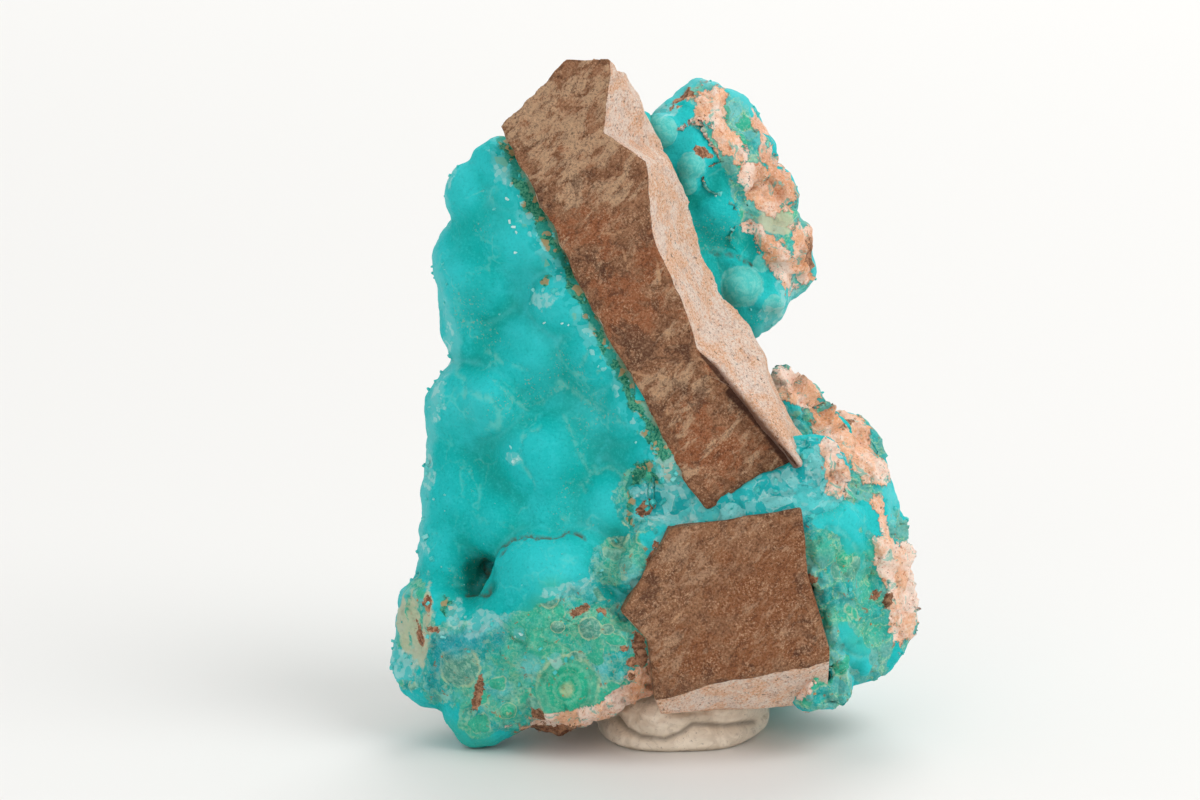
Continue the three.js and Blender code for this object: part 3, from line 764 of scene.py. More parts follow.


# The mineral's spots: how far the border of each kind wanders, how ragged it is, how soft, and the spots. In
# turn: broken faces, smooth chips of them, bare rock, brown slivers, pale crystals, bits of the green line,
# parts of the crust pushed in with painted shade and pushed out with painted light (some also lighter in
# tone), the cavity with its painted shadow, streaks; green, pale and deep blue parts of the broken faces;
# and orange-brown parts of the bare rock.
SPOTS = {
    "broken": (1, 0, 1.2, [(565, 668, 124, 66, -14), (450, 660, 34, 44, 10), (411, 630, 24, 50, 0),
        (840, 600, 52, 100, -8), (640, 655, 40, 60, 0), (835, 450, 60, 56, 40), (775, 215, 30, 88, -27),
        (640, 498, 24, 32, 10), (815, 685, 34, 30, 0), (712, 100, 34, 14, 20), (620, 560, 26, 24, 0),
        (560, 612, 40, 16, -20), (812, 440, 34, 22, 30)]),
    "smooth": (1, 1.4, 0.8, [(836, 516, 28, 13, 16), (854, 542, 8, 13, 10), (850, 650, 15, 24, -24),
        (400, 668, 16, 16, 30), (700, 240, 34, 60, -20), (742, 292, 28, 26, 0), (690, 160, 26, 34, 0)]),
    "rind": (0.7, 0, 1.2, [(712, 105, 15, 24, 40), (728, 140, 13, 30, -28), (762, 187, 15, 28, -40),
        (778, 176, 12, 34, -28), (688, 97, 15, 5, -38), (759, 129, 6, 11, -20), (768, 246, 10, 26, -45),
        (782, 266, 9, 22, -20), (804, 256, 10, 26, -15), (796, 392, 28, 14, 34), (846, 434, 34, 20, 36),
        (834, 466, 13, 40, -14), (870, 462, 14, 26, -32), (882, 542, 8, 44, -10), (903, 596, 15, 48, -2),
        (632, 700, 26, 9, 6), (640, 678, 16, 13, 0), (650, 658, 6, 12, 0), (806, 678, 5, 14, 20),
        (560, 722, 60, 9, -8)]),
    "sliver": (0, 0.3, 0.6, [(476, 698, 5, 21, 14), (417, 635, 4, 13, -6), (431, 629, 7, 4, 0),
        (580, 608, 12, 5, -28), (539, 714, 9, 5, 20), (632, 662, 7, 6, 0), (624, 648, 5, 4, 0),
        (812, 578, 8, 5, 0), (645, 508, 11, 6, -40), (426, 604, 5, 4, 0), (566, 728, 46, 9, -6),
        (876, 595, 7, 4, -20), (702, 152, 10, 5, 25), (601, 612, 6, 6, 0), (632, 677, 4, 5, 0),
        (428, 604, 3, 9, 10), (786, 150, 6, 14, -20), (889, 600, 6, 8, 0), (640, 652, 5, 20, -14),
        (684, 97, 16, 4, -38), (808, 256, 5, 18, -15), (652, 560, 4, 16, 10), (846, 424, 6, 4, 0)]),
    "pale": (0, 1, 0.8, [(514, 458, 7, 7, 0), (450, 363, 5, 9, 10), (439, 396, 4, 8, 10),
        (425, 545, 5, 9, 0), (400, 664, 16, 12, 30), (519, 636, 6, 5, 0), (456, 610, 8, 12, 0),
        (690, 520, 10, 6, 0), (752, 500, 8, 5, 0), (545, 300, 12, 9, 0), (720, 84, 20, 5, 10),
        (764, 112, 10, 12, 45), (790, 290, 14, 14, 0), (566, 588, 28, 7, -16), (645, 592, 12, 14, 0),
        (645, 492, 7, 12, 0), (780, 480, 9, 6, 0), (555, 660, 10, 8, 0), (665, 545, 12, 10, -30),
        (440, 230, 4, 8, 0), (454, 616, 8, 12, 0), (486, 622, 18, 14, -20), (466, 634, 22, 3, 0),
        (672, 478, 14, 26, -30), (700, 497, 14, 8, -20), (655, 520, 12, 9, 0), (640, 590, 12, 12, 0),
        (788, 492, 12, 6, 0), (775, 108, 8, 20, -30), (668, 110, 14, 8, -30), (772, 312, 16, 12, 0),
        (812, 470, 9, 16, -20), (448, 345, 7, 22, 5), (440, 400, 6, 20, 8), (430, 470, 5, 22, 0),
        (452, 175, 6, 14, 10), (500, 172, 10, 14, -30)]),
    "green": (0, 1, 0.6, [(634, 478, 7, 14, 20), (631, 500, 6, 16, 0), (655, 480, 5, 10, 0),
        (658, 508, 4, 10, 10), (644, 466, 12, 5, 0), (446, 606, 8, 9, 0), (548, 282, 4, 5, 0),
        (676, 452, 12, 6, 60), (662, 430, 8, 6, 60)]),
    # deep: painted shade round the bulges, between balls and in the cavity
    "deep": (0.4, 0, 1.8, [(555, 377, 26, 14, -10), (474, 300, 14, 22, 10), (486, 335, 22, 8, 20),
        (474, 578, 18, 16, 0), (520, 395, 34, 6, -25), (606, 408, 16, 5, 30), (566, 480, 5, 30, 10),
        (478, 226, 12, 6, 10), (462, 640, 18, 10, 0), (735, 326, 30, 14, -20), (712, 232, 22, 16, 0)]),
    # light: painted light on the bulges, and a lighter tone in some spots
    "light": (0.6, 0, 2.6, [(490, 425, 26, 15, 15), (590, 420, 20, 36, -35), (536, 275, 16, 42, -30),
        (505, 215, 10, 40, -20), (536, 330, 14, 34, -24), (470, 410, 20, 22, 0), (600, 520, 22, 20, 0),
        (560, 575, 30, 22, 0), (462, 170, 12, 26, 10), (450, 270, 10, 22, 0), (661, 132, 13, 13, 0),
        (738, 288, 18, 18, 0), (850, 650, 22, 24, 0), (832, 520, 20, 26, 0)]),
    # hollow: the cavity, pushed in and given a painted shadow
    "hollow": (0.1, 0, 0.6, [(480, 570, 14, 9, 0), (482, 586, 12, 9, 0)]),
    "streak": (0, 0, 0.5, [(402, 622, 5, 32, -6), (413, 632, 5, 36, -2), (422, 648, 4, 26, 4),
        (396, 606, 3, 18, -12), (428, 615, 3, 26, 0), (775, 222, 18, 12, 20)]),
    "leaf": (0.6, 0.6, 0.8, [(533, 634, 30, 30, -10), (551, 586, 12, 8, 0), (564, 690, 38, 30, 0),
        (545, 606, 20, 14, 0), (575, 648, 32, 22, -20), (600, 620, 18, 10, 0), (408, 612, 8, 30, -5),
        (506, 716, 24, 12, 10), (446, 604, 8, 9, 0), (848, 556, 18, 9, 0), (866, 592, 9, 24, -10),
        (864, 636, 26, 12, -20), (822, 548, 20, 6, 0), (838, 618, 28, 7, 0), (512, 660, 20, 30, -35),
        (470, 736, 34, 16, 10), (636, 100, 5, 22, -25)]),
    "sky": (0.4, 0.6, 0.7, [(486, 622, 19, 14, -20), (454, 616, 8, 12, 0), (530, 668, 13, 11, 0),
        (597, 690, 8, 20, 10), (470, 634, 24, 4, 0), (568, 588, 26, 8, -14), (640, 585, 16, 16, 0),
        (400, 664, 16, 18, 30), (500, 690, 12, 8, 0), (812, 484, 14, 16, -20), (752, 125, 13, 28, -35),
        (790, 285, 12, 20, 10), (845, 660, 12, 20, 0), (690, 106, 22, 10, -20), (832, 455, 8, 22, -20),
        (600, 670, 8, 10, 0)]),
    "ink": (0.4, 0.5, 0.7, [(460, 642, 28, 11, -4), (498, 640, 8, 12, 0), (437, 662, 4, 24, 8),
        (806, 522, 7, 9, 0)]),
    "tawny": (0.3, 0.3, 0.7, [(773, 176, 13, 32, -26), (759, 129, 7, 12, -20), (690, 95, 20, 6, -38),
        (764, 258, 7, 18, 10), (806, 256, 7, 20, -15), (878, 444, 9, 24, -30), (832, 418, 18, 7, 20),
        (800, 388, 12, 8, 30), (640, 690, 20, 6, 0)]),
}
# Round spots, (across, down, radius): green ringed ones and dull nodules with a pale lip, both on the broken
# faces, and small balls with a pale skin.
ROUND_SPOTS = {
    "ring": [(568, 688, 33), (846, 558, 9), (786, 214, 9), (508, 712, 9)],
    "nodule": [(618, 533, 12), (589, 629, 13), (549, 599, 10), (576, 662, 11), (557, 628, 7),
        (459, 668, 21), (608, 629, 6), (782, 218, 10)],
    "pearl": [(662, 132, 14), (692, 166, 14), (687, 184, 11), (741, 286, 21), (773, 306, 11),
        (762, 263, 9)],
}
WHITE_DOTS = [(504, 201), (506, 221), (513, 234), (511, 230), (515, 256), (541, 323), (560, 326),
    (567, 326), (514, 458), (511, 463), (519, 636), (517, 640), (715, 193), (645, 493), (649, 488),
    (640, 497)]
# The crust's silhouette, where it thins out to pale flakes, lightened partly as a painted glow of light
# through them.
OUTLINE = [[(493, 133), (456, 151), (443, 188), (449, 218), (434, 247), (441, 292), (456, 336), (456, 366),
    (438, 381), (430, 455), (423, 514), (419, 559), (397, 603), (397, 633), (384, 655), (397, 677)],
    [(672, 96), (690, 84), (702, 79), (722, 84), (742, 95), (757, 112), (764, 128)], [(812, 262),
    (806, 286), (790, 306), (775, 321), (757, 334)], [(880, 470), (890, 500), (892, 520)]]
# Pale lines between the crust's lobes, and brown cracks.
LOBE_LINES = [[(494, 380), (512, 398), (529, 410), (546, 396), (563, 384), (580, 396), (594, 406),
    (629, 428)], [(563, 415), (576, 441), (590, 471)], [(537, 423), (524, 440), (520, 455), (533, 489)],
    [(585, 490), (590, 474), (606, 466), (622, 474), (629, 492), (624, 508)], [(487, 352), (505, 362),
    (530, 372)], [(449, 352), (462, 375), (468, 400)], [(472, 392), (490, 398), (500, 412), (492, 430)],
    [(600, 330), (590, 350), (575, 372)], [(824, 526), (844, 534), (862, 556)], [(812, 505), (832, 500),
    (852, 508), (866, 522)], [(836, 640), (850, 652), (872, 660)], [(700, 246), (722, 248), (740, 238),
    (752, 218)]]
SEAMS = [[(712, 252), (722, 257), (735, 254), (752, 266)], [(499, 553), (512, 543), (530, 537), (552, 538),
    (570, 533), (584, 540)], [(487, 562), (487, 580), (484, 592), (468, 596)]]


def nearness(depth, soft=1.2):
    """A depth in millimetres as a share: 0.5 on the border, 0 and 1 a soft width outside and inside."""
    return np.clip(0.5 + depth / (2 * soft), 0, 1)


def line_reading(place, lines, wide):
    """1 on a line of the camera's frame, falling to 0 a width in millimetres away from it."""
    best = np.full(len(place), 9.0)
    for line in lines:
        for start, end in zip(np.array(line[:-1], float), np.array(line[1:], float)):
            along = np.clip((place - start) @ (end - start) / ((end - start) @ (end - start)), 0, 1)
            best = np.minimum(best, length(place - start - along[:, None] * (end - start)) / PIXELS)
    return np.clip(1 - best / wide, 0, 1)


def mineral_field(lattice):
    """How far each sample point is outside the mineral, outside the vein and outside the slab, and how
    close it is to a broken face. Each region's balls are melted together and cut by its breaks, the
    regions and the vein are melted together, then the rocks' pockets and the shelf are cut away."""
    total = np.full(lattice.shape, 1e-9, np.float32)
    near_break = np.full(lattice.shape, -9.0, np.float32)
    for region in REGIONS.values():
        outside = melted(lattice, region["balls"], region["bodies"], region.get("melt", MELT))
        for point, facing in region.get("breaks", ()):
            beyond = lattice.beyond((point, unit(facing)))
            near_break = np.maximum(near_break, np.where(outside < 1, np.minimum(beyond, -outside), -9))
            outside = np.maximum(outside, beyond)
        total += np.exp(-outside / MELT)
    vein = melted(lattice, VEIN)
    for rock in (SLAB, BLOCK):
        out = unit(rock["facing"])
        vein = np.maximum(vein, lattice.beyond((np.array(rock["corner"]) - VEIN_RECESS * out, out)))
    field = -MELT * np.log(total + np.exp(-vein / MELT))
    for x, y, z, radius in SMALL_BALLS:
        window = lattice.window((x, y, z), radius + 2)
        away = length(lattice.points(window) - (x, y, z)) - radius + 0.3
        field[window] = -0.35 * np.logaddexp(-field[window] / 0.35, -away / 0.35)
    unstepped = {key: value for key, value in SLAB.items() if key != "floor"}
    slab, block = (rock_distance(lattice, rock) for rock in (unstepped, BLOCK))
    field = np.maximum(field, -np.minimum(slab, block) - OVERLAP)
    field = np.maximum(field, -lattice.beyond(((0, 0, 0), (0, 0, 1))))
    return field, vein, slab, near_break


def ring_reading(place, spots):
    """How far out a place lies in the nearest round spot: 0 in its middle, 1 on its rim, 2 well outside."""
    away = [length(place - (across, down)) / radius for across, down, radius in spots]
    return np.minimum(np.minimum.reduce(away), 2)


def mineral_part(name, pitch, low, high, finish):
    """The mineral between two corners: the skin of its field, pushed in and out a little, softly on the
    crust, in splinters and grains on the broken faces. By the edge of a cut it dips a little, and the
    skin of the part that reaches past that edge covers it."""
    low, high = np.array(low, float), np.array(high, float)
    start = pitch * np.floor((np.maximum(low, ROOM[0]) - 1.2) / pitch)
    lattice = Lattice(start, np.minimum(high, ROOM[1]) + 1.2, pitch)
    whole, vein, slab, near_break = mineral_field(lattice)
    field = whole
    for way in np.eye(3):
        field = np.maximum(field, np.maximum(lattice.beyond((low, -way)), lattice.beyond((high, way))))
    points, faces = lattice.skin(field)
    out = looks(points, faces)
    place = in_frame(points)
    facing = out @ -FORWARD
    front, behind, aside = ramp(facing, 0.0, 0.2), ramp(-facing, 0.15, 0.4), 1 - ramp(facing, 0.1, 0.5)
    behind_slab = (place[:, 0] > 635) & (place[:, 1] < 400)
    wander, ragged = 0.8 * hills(points, 5, 3, 2), 0.5 * hills(points, 1.5, 19, 2)
    bent = points + 0.8 * np.stack([hills(points, 2.0, seed) for seed in (101, 103, 107)], -1)
    node, own = pebbles(bent, 3.2, 41)
    lobes, humps = (pebbles(bent, size, seed)[0] for size, seed in ((5.0, 31), (9.0, 37)))
    along = unit(np.cross(out, (0.3, 0.2, 0.9)))
    across = np.cross(out, along)
    rounding = sum(lattice.reading(whole, points + 4 * way) for way in (along, -along, across, -across)) / 4
    readings = {key: nearness(patches(place, spots) + astray * wander + torn * ragged, soft) * front
                for key, (astray, torn, soft, spots) in SPOTS.items()}
    smooth = readings.pop("smooth")
    broken = np.maximum(nearness(lattice.reading(near_break, points) + 0.5, 0.5), readings["broken"])
    broken = np.maximum(broken, ramp(hills(points, 18, 71, 3), 0.1, 0.25) * behind) * (1 - smooth)
    under = ramp(-out[:, 2], 0.3, 0.6) * ramp(points[:, 0], -17, -13) * ramp(-points[:, 0], -8, -3)
    rind = np.maximum(readings["rind"] * (1 - smooth), ramp(hills(points, 22, 83, 4), 0.12, 0.3) * behind)
    rind = np.maximum(rind, under * ramp(-points[:, 2], -16, -10))
    roundness = 0.5 * rounding + 0.2 * (0.35 - humps ** 2) + 0.15 * (0.35 - lobes ** 2)
    readings.update({
        "broken": broken,
        "rind": rind,
        "node": node,
        "own": own,
        # how open the skin is, which darkens the crust's hollows as painted shade
        "open": np.clip(lattice.reading(whole, points + 3 * out) / 3, 0, 1),
        # how rounded the skin is, which lightens the crust's crests as painted light
        "crest": np.clip(0.52 + roundness, 0, 1),
        # how thin the mineral is behind the skin, for a painted glow of light through thin edges
        "thin": ramp(lattice.reading(whole, points - 2.2 * out), -1.6, -0.2) * front * (1 - behind_slab),
        "rim": np.clip(1 - lattice.reading(slab, points) / 5, 0, 1) * front * (1 - behind_slab),
        "bluer": ramp(points[:, 0], 3, 10),
        "vein": nearness(0.5 - np.abs(lattice.reading(vein, points)), 0.5) * front,
        "flake": line_reading(place, OUTLINE, 1.8) * ramp(facing, -0.6, 0.0),
        "line": line_reading(place + 10 * ragged[:, None], LOBE_LINES, 0.45) * front,
        "seam": line_reading(place + 6 * ragged[:, None], SEAMS, 0.3) * front,
        **{key: np.where(front > 0.3, ring_reading(place, spots), 2)
           for key, spots in ROUND_SPOTS.items()},
    })
    grains, beads, scales = (pebbles(points, size, seed)[0]
                             for size, seed in ((1.3, 11), (2.2, 23), (4.0, 29)))
    # the crust's beads, lobes and humps; domes and splinters of the broken faces; splinters of bare rock
    push = (1 - broken) * (1 - rind) * (0.12 * (0.5 - beads) + 0.8 * readings["flake"] * (0.4 - scales ** 2)
                                        + 0.05 * hills(points, 1.2, 5, 2) + 0.3 * aside * (0.5 - beads)
                                        + (0.25 + 0.75 * aside) * (0.4 - lobes ** 2)
                                        + 0.6 * (0.35 - humps ** 2))
    dome = np.where(own > 0.45, ramp(-node, -0.5, -0.1), 0)
    ball = ramp(-readings["ring"], -1.1, -0.2) + 0.7 * ramp(-readings["nodule"], -1.1, -0.3)
    push = push + broken * (1 - rind) * (0.35 * hills(points, 3.5, 9, 3) + 0.25 * (0.5 - grains) - 0.3
                                         + 0.4 * dome + 0.7 * ball + 0.7 * splinters(points, 4.0, 51)
                                         + 0.3 * splinters(points, 1.5, 61))
    push = push + rind * (1.0 * splinters(points, 4.5, 71) + 0.5 * splinters(points, 1.6, 81)
                          + 0.25 * hills(points, 1.5, 13, 2) + 0.3 - 1.5 * behind)
    push = push + 1.3 * splinters(points, 8.0, 97) * np.maximum(rind, broken) * ramp(points[:, 0], 6, 12)
    push = push + readings["vein"] * (0.6 * splinters(points, 3.4, 55) + 0.1)
    push = push + 0.25 * splinters(points, 2.4, 59) * ramp(readings["rim"], 0.2, 0.6) * (1 - broken)
    push = push - 0.4 * readings["seam"] - 0.2 * readings["line"]
    push = push + 0.5 * readings["light"] * (1 - broken) - 0.3 * readings["deep"] * (1 - broken)
    push = push - 0.6 * nearness(patches(place, SPOTS["hollow"][-1]), 0.5) * front
    # a cut's face, deep inside the mineral, stays where it is
    push = push * ramp(lattice.reading(whole, points), -0.5, -0.1)
    push = push - 0.3 * (1 - ramp(np.minimum(points - low, high - points).min(-1), 0.1, 0.7))
    points = points + out * push[:, None]
    points[:, 2] = np.maximum(points[:, 2], 0.0)
    piece_of(name, points, faces, readings, finish, ("hemimorphite",))
    return points, out, readings


BLADE = np.array([(-0.5, 0), (0.5, 0), (0.5, 0.7), (0.2, 1), (-0.2, 1), (-0.5, 0.7)])
BLADE_FACES = np.array([(0, 1, 2, 5), (5, 2, 3, 4), (7, 6, 11, 8), (8, 11, 10, 9), (1, 0, 6, 7), (2, 1, 7, 8),
                        (3, 2, 8, 9), (4, 3, 9, 10), (5, 4, 10, 11), (0, 5, 11, 6)])


def crystals(name, roots, ways, sizes, tones, seed):
    """Little blades as one piece: a six-cornered outline of a random width and thickness, turned at random
    about the way that it grows, which leans at random from the way the skin looks."""
    rng = np.random.default_rng(seed)
    grow = unit(ways + rng.normal(0, 0.4, ways.shape))
    side = unit(np.cross(grow, rng.normal(0, 1, ways.shape)))
    flat = np.cross(grow, side)
    wide = rng.uniform(0.4, 0.85, (len(roots), 1, 1))
    thick = rng.uniform(0.14, 0.34, (len(roots), 1, 1)) * np.repeat([-1, 1], 6)[:, None]
    outline = np.concatenate([BLADE, BLADE])
    corners = (roots[:, None] + sizes[:, None, None] * (
        outline[:, 0, None] * wide * side[:, None] + (outline[:, 1, None] - 0.45) * grow[:, None]
        + thick * flat[:, None]))
    faces = BLADE_FACES + 12 * np.arange(len(roots))[:, None, None]
    corners = corners.reshape(-1, 3)
    corners[:, 2] = np.maximum(corners[:, 2], 0.0)
    piece = piece_of(name, corners, faces.reshape(-1, 4), {"tone": np.repeat(tones, 12)}, clear_crystals())
    piece.data.polygons.foreach_set("use_smooth", np.zeros(len(piece.data.polygons), bool))


def druse_crystals(parts):
    """Loose crystals that stand on the skin: many along the rock's edge, in the vein, on thin rims and on
    the broken faces, few on the crust."""
    points, out = (np.concatenate([part[i] for part in parts]) for i in (0, 1))
    readings = {key: np.concatenate([part[2][key] for part in parts]) for key in parts[0][2]}
    rng = np.random.default_rng(4)
    front = ramp(out @ -FORWARD, -0.2, 0.2)
    broken = readings["broken"]
    band = ramp(readings["rim"], 0.3, 0.6) * ramp(-readings["rim"], -0.97, -0.9)
    groups = [  # how many, where, smallest and largest size, tones
        (300, band * front, 0.25, 0.6, (0.2, 0.65)),
        (10, readings["vein"] * front, 0.8, 1.5, (0.2, 0.5)),
        (40, readings["thin"] * front, 0.3, 0.6, (0.3, 0.6)),
        (24, readings["flake"] ** 2, 0.4, 0.8, (0.3, 0.6)),
        (90, broken * front, 0.3, 0.9, (0.1, 0.55)),
        (14, broken ** 6 * front, 0.3, 0.7, (-1.0, -0.8)),
        (110, readings["pale"] * front, 0.4, 0.9, (0.3, 0.65)),
        (60, (1 - broken) * front, 0.2, 0.4, (0.3, 0.7)),
        (350, broken * (1 - front), 0.5, 1.2, (0.1, 0.6)),
    ]
    roots, ways, sizes, tones = [], [], [], []
    for count, where, small, large, (low, high) in groups:
        where = where * (readings["rind"] < 0.4)
        picked = rng.choice(len(points), count, replace=False, p=where / where.sum())
        roots.append(points[picked])
        ways.append(out[picked])
        sizes.append(small + (large - small) * rng.random(count) ** 2)
        tones.append(rng.uniform(low, high, count))
    place = in_frame(points)
    for spot in WHITE_DOTS:
        close = np.flatnonzero((length(place - spot) < 4) & (out @ -FORWARD > 0.2))
        if len(close):
            nearest = close[np.argsort((points[close] - CAMERA) @ FORWARD)[:1]]
            roots.append(points[nearest])
            ways.append(out[nearest])
            sizes.append(rng.uniform(0.35, 0.6, len(nearest)))
            tones.append(np.full(len(nearest), 0.9))
    crystals("druse_crystals", *(np.concatenate(parts) for parts in (roots, ways, sizes, tones)), 8)


# The rocks' spots: dark smudges, some of them painted shade along the slab's ledge and the block's edges, tan
# patches and rusty ones; and cracks, as the corners of lines.
ROCK_SPOTS = {
    "upper_slab": {
        "smudges_and_shade": [(688, 388, 8, 12, 30), (590, 178, 9, 7, 0), (606, 252, 22, 7, -20), (640, 305, 18, 10, 0),
            (768, 434, 6, 50, -38), (742, 480, 4, 14, 20), (760, 468, 3, 12, 10), (628, 345, 16, 30, -30),
            (700, 398, 10, 16, 0), (655, 208, 4, 18, 10), (662, 346, 30, 14, 20), (735, 490, 26, 4, -12),
            (650, 402, 6, 14, 0), (530, 190, 12, 6, 30), (580, 285, 10, 18, -30), (640, 340, 34, 20, 30),
            (600, 262, 30, 8, 10)],
        "tan": [(556, 128, 66, 56, 40), (610, 195, 40, 16, 10), (668, 392, 30, 16, -20),
            (642, 382, 12, 6, 0), (600, 100, 14, 40, 0), (690, 424, 12, 8, 40), (738, 446, 16, 20, -36)],
        "rusty": [(598, 240, 50, 16, 20), (620, 300, 36, 34, 30), (560, 224, 20, 12, 0),
            (690, 335, 8, 20, -30), (725, 455, 26, 30, -20), (650, 260, 20, 30, 0), (700, 450, 26, 40, -34),
            (745, 440, 16, 34, -34)],
    },
    "lower_block": {
        "smudges_and_shade": [(655, 590, 10, 40, 25), (638, 612, 14, 8, 0), (806, 580, 6, 60, -6),
            (700, 682, 40, 5, -12), (735, 516, 70, 5, -8), (650, 672, 4, 24, 0)],
        "tan": [(684, 556, 26, 16, 0), (655, 640, 10, 20, 20)],
        "rusty": [(786, 590, 34, 60, 0), (742, 600, 30, 44, 0), (755, 655, 50, 20, -10),
            (700, 655, 40, 24, 0)],
    },
}
CRACKS = {
    "upper_slab": [[(630, 371), (645, 376), (668, 378), (683, 362), (698, 358), (716, 366)], [(622, 247),
        (626, 262), (630, 277)], [(657, 262), (660, 284), (668, 292)], [(602, 233), (614, 234), (630, 228)],
        [(652, 335), (668, 333), (676, 335)], [(655, 392), (664, 402), (668, 415)], [(706, 368), (712, 384),
        (712, 402)]],
    "lower_block": [[(668, 627), (676, 618), (684, 610)], [(668, 641), (680, 635)]],
}
# The painted shadow, with some dark stain, along the foot of the slab's ledge, and the folds that the wad was
# pressed together with.
LEDGE_SHADE_AND_STAIN = [[(731, 393), (748, 408), (770, 434), (794, 470)]]
FOLDS = [[(764, 722), (730, 727), (694, 726), (680, 735), (663, 741), (637, 738), (622, 730), (612, 718)],
    [(700, 714), (684, 712), (664, 715), (655, 723), (663, 731), (676, 730)], [(635, 712), (634, 722),
    (637, 730)], [(706, 712), (722, 716), (742, 714)]]


def rock_piece(name, rock, finish, node):
    """A piece of rock: its distance with random wear on the faces, and the skin where that is nought. The
    wear of a cut leaves shallow scoops between sharp edges: hills turned up at nought."""
    low, high = (np.array(corner) * 1000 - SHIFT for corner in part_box(node))
    lattice = Lattice(low - 1.5, high + 1.5, ROCK_PITCH)
    flat = lattice.points().reshape(-1, 3)
    front_wear = (0.25 * hills(flat, 9.0, 3, 3)).reshape(lattice.shape)
    break_wear = rock["wear"] * (0.9 * (np.abs(hills(flat, 8.0, 17)) - 0.3) + 0.35 * hills(flat, 2.5, 29, 2))
    break_wear = break_wear.reshape(lattice.shape)
    points, faces = lattice.skin(rock_distance(lattice, rock, front_wear, break_wear))
    (corner, facing), _, cuts = faces_of(rock)
    out = looks(points, faces)
    depth = (corner - points) @ facing - 0.25 * hills(points, 9.0, 3, 3)
    old = nearness(0.4 - np.abs(depth), 0.2)
    if "floor" in rock:
        floor, *ledges = cuts[-1]
        over = (points - floor[0]) @ floor[1] + 0.15
        inside = np.minimum.reduce([(points - point) @ way for point, way in ledges])
        old = np.maximum(old, nearness(0.6 - np.abs(over), 0.3) * nearness(inside, 0.3))
    else:
        old = np.maximum(old, 1 - ramp(out @ (0, 0, -1), 0.1, 0.4))
    place = in_frame(points)
    front = ramp(out @ -FORWARD, -0.2, 0.1)
    wander = 0.5 * hills(points, 3, 5, 2)
    readings = {key: nearness(patches(place, spots) + 1.6 * wander, 2.6) * front
                for key, spots in ROCK_SPOTS[node].items()}
    readings["fresh"] = 1 - old * front
    readings["crack"] = line_reading(place, CRACKS[node], 0.3) * front
    # painted shadow, with some dark stain, on the ledge's wall and along its foot
    readings["ledge_shade_and_stain"] = np.zeros(len(points))
    if "floor" in rock:
        point, way = ledges[0]
        wall = nearness(0.5 - np.abs((points - point) @ way), 0.3)
        readings["ledge_shade_and_stain"] = np.maximum(wall * nearness((points - floor[0]) @ floor[1] - 0.1, 0.3),
                                     line_reading(place, LEDGE_SHADE_AND_STAIN, 1.3)) * front
    piece_of(name, points, faces, readings, finish, (node,))


def putty_wad(name):
    """The pressed wad: a profile turned about its middle, whose radius goes in and out with the angle.
    Creases are pressed in along wandering lines."""
    steps, rings = 240, 110
    angle = np.linspace(0, 2 * np.pi, steps, endpoint=False)
    profile = np.array([(0.0005, 0), (0.9, 0), (0.97, 0.06), (1, 0.2), (0.99, 0.4), (0.95, 0.56), (0.86, 0.7),
                        (0.7, 0.84), (0.4, 0.95), (0.0005, 1)])
    along = np.r_[0, np.cumsum(length(np.diff(profile, axis=0)))]
    share = np.linspace(0, along[-1], rings)
    radius = np.interp(share, along, profile[:, 0])[:, None]
    height = np.interp(share, along, profile[:, 1])[:, None] + 0 * angle
    rim = 1 + 0.05 * (np.sin(2 * angle + 0.6) + 0.6 * np.sin(5 * angle))
    spot = np.stack([np.cos(angle) * 9 + 0 * height, np.sin(angle) * 9 + 0 * height, 9 * height], -1)
    wobble = hills(spot.reshape(-1, 3), 5.0, 2, 2).reshape(height.shape)
    pinch = ramp(height, 0.02, 0.12) * ramp(-height, -0.98, -0.85)
    reach = PUTTY["radius"] * radius * rim + 0.5 * wobble * pinch
    points = np.stack([PUTTY["middle"][0] + reach * np.cos(angle), PUTTY["middle"][1] + reach * np.sin(angle),
                       PUTTY["height"] * height], -1)
    place = in_frame(points.reshape(-1, 3))
    front = ramp(-np.sin(angle), 0.0, 0.3)
    fold = sum(share * line_reading(place, FOLDS[:count], wide) for share, count, wide in
               ((0.7, 1, 1.6), (0.3, len(FOLDS), 0.7))).reshape(height.shape) * front
    back_fold = np.exp(-((9 * height - 3.2 - 0.9 * np.sin(1.7 * angle)) / 0.35) ** 2) * (1 - front)
    crease = np.maximum(fold, 0.7 * back_fold)
    inwards = np.stack([-np.cos(angle), -np.sin(angle), 0 * angle], -1)
    points = points + (1.3 * crease * pinch)[..., None] * inwards
    ring = np.arange(steps)
    floor = np.arange(rings - 1)[:, None] * steps
    faces = np.stack([floor + ring, floor + (ring + 1) % steps, floor + steps + (ring + 1) % steps,
                      floor + steps + ring], -1).reshape(-1, 4)
    # the crease reading darkens the finish as painted shade
    piece_of(name, points.reshape(-1, 3), faces, {"crease": ramp(crease.ravel(), 0.5, 1.1)},
             pressed_putty(), ("putty_wad",))


# ---- camera, light and floor -----------------------------------------------------------------------------

def camera():
    lens = bpy.data.cameras.new("camera")
    lens.sensor_width = SENSOR
    lens.lens = FOCAL / FRAME_WIDE * SENSOR
    lens.clip_end = 20
    eye = bpy.data.objects.new("camera", lens)
    eye.location = (CAMERA + SHIFT) * MILLIMETRE
    eye.rotation_euler = (np.pi / 2 - TILT, 0, 0)
    bpy.context.scene.collection.objects.link(eye)
    bpy.context.scene.camera = eye


def soft_light(name, place, size, power):
    light = bpy.data.lights.new(name, "AREA")
    light.shape = "DISK"
    light.size = size
    light.energy = power
    lamp = bpy.data.objects.new(name, light)
    lamp.location = place
    way = np.array([0, 0, 0.045]) - place
    lamp.rotation_euler = (np.arctan2(np.hypot(way[0], way[1]), -way[2]), 0,
                           np.arctan2(way[1], way[0]) - np.pi / 2)
    bpy.context.scene.collection.objects.link(lamp)


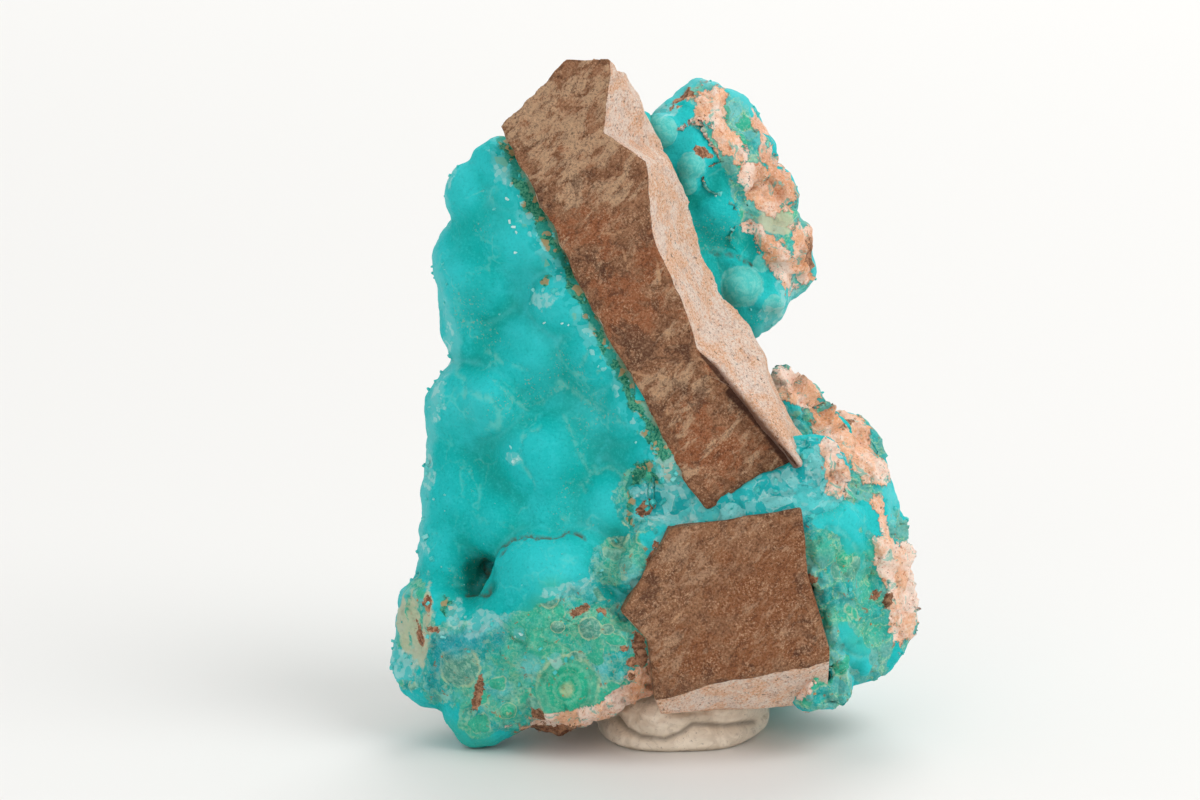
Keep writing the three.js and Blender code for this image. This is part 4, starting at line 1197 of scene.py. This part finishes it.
def studio():
    world = bpy.data.worlds.new("white_room")
    world.use_nodes = True
    world.node_tree.nodes["Background"].inputs["Color"].default_value = (0.94, 0.94, 0.93, 1)
    world.node_tree.nodes["Background"].inputs["Strength"].default_value = 0.72
    bpy.context.scene.world = world
    sheet = bpy.data.meshes.new("floor")
    sheet.from_pydata([(-4, -4, 0), (4, -4, 0), (4, 4, 0), (-4, 4, 0)], [], [(0, 1, 2, 3)])
    paper = Finish("white_paper", Roughness=0.6, Emission_Strength=1.0)
    paper.shader.inputs["Base Color"].default_value = paint(232, 231, 229)
    # painted light: the paper glows more and more the further back it lies, so that the far floor stays white
    depth = paper.add("ShaderNodeSeparateXYZ", None, {"Vector": paper.place}, "Y")
    paper.into(Emission_Color=paper.mix(paper.rise(depth, 0.1, 1.6), (0, 0, 0), (104, 104, 102)))
    sheet.materials.append(paper.material)
    floor = bpy.data.objects.new("floor", sheet)
    bpy.context.scene.collection.objects.link(floor)
    soft_light("key", np.array([1.2, -0.65, 1.5]), 1.5, 18.0)
    soft_light("top", np.array([0.3, 1.3, 1.7]), 1.2, 12.0)
    soft_light("front", np.array([-0.7, -1.9, 0.9]), 1.3, 4.2)
    bpy.context.scene.view_settings.view_transform = "Standard"
    bpy.context.scene.view_settings.look = "None"


camera()
studio()
druse = blue_green_druse()
druse_crystals([
    mineral_part("hemimorphite_front_left", FRONT_PITCH, (-FAR, -FAR, -FAR),
                 (RIGHT_STARTS + SHARED, BACK_STARTS, FAR), druse),
    mineral_part("hemimorphite_front_right", FRONT_PITCH, (RIGHT_STARTS - SHARED, -FAR, -FAR),
                 (FAR, BACK_STARTS, FAR), druse),
    mineral_part("hemimorphite_back", BACK_PITCH, (-FAR, BACK_STARTS - 2 * SHARED, -FAR),
                 (FAR, FAR, FAR), druse),
])
rock_piece("weathered_slab", SLAB, host_rock("slab_rock", (140, 94, 65), (176, 125, 91), (222, 184, 148),
                                             (170, 100, 62)), "upper_slab")
rock_piece("weathered_block", BLOCK, host_rock("block_rock", (146, 99, 69), (166, 117, 83), (192, 152, 120),
                                               (148, 90, 54)), "lower_block")
putty_wad("putty_wad_pressed")
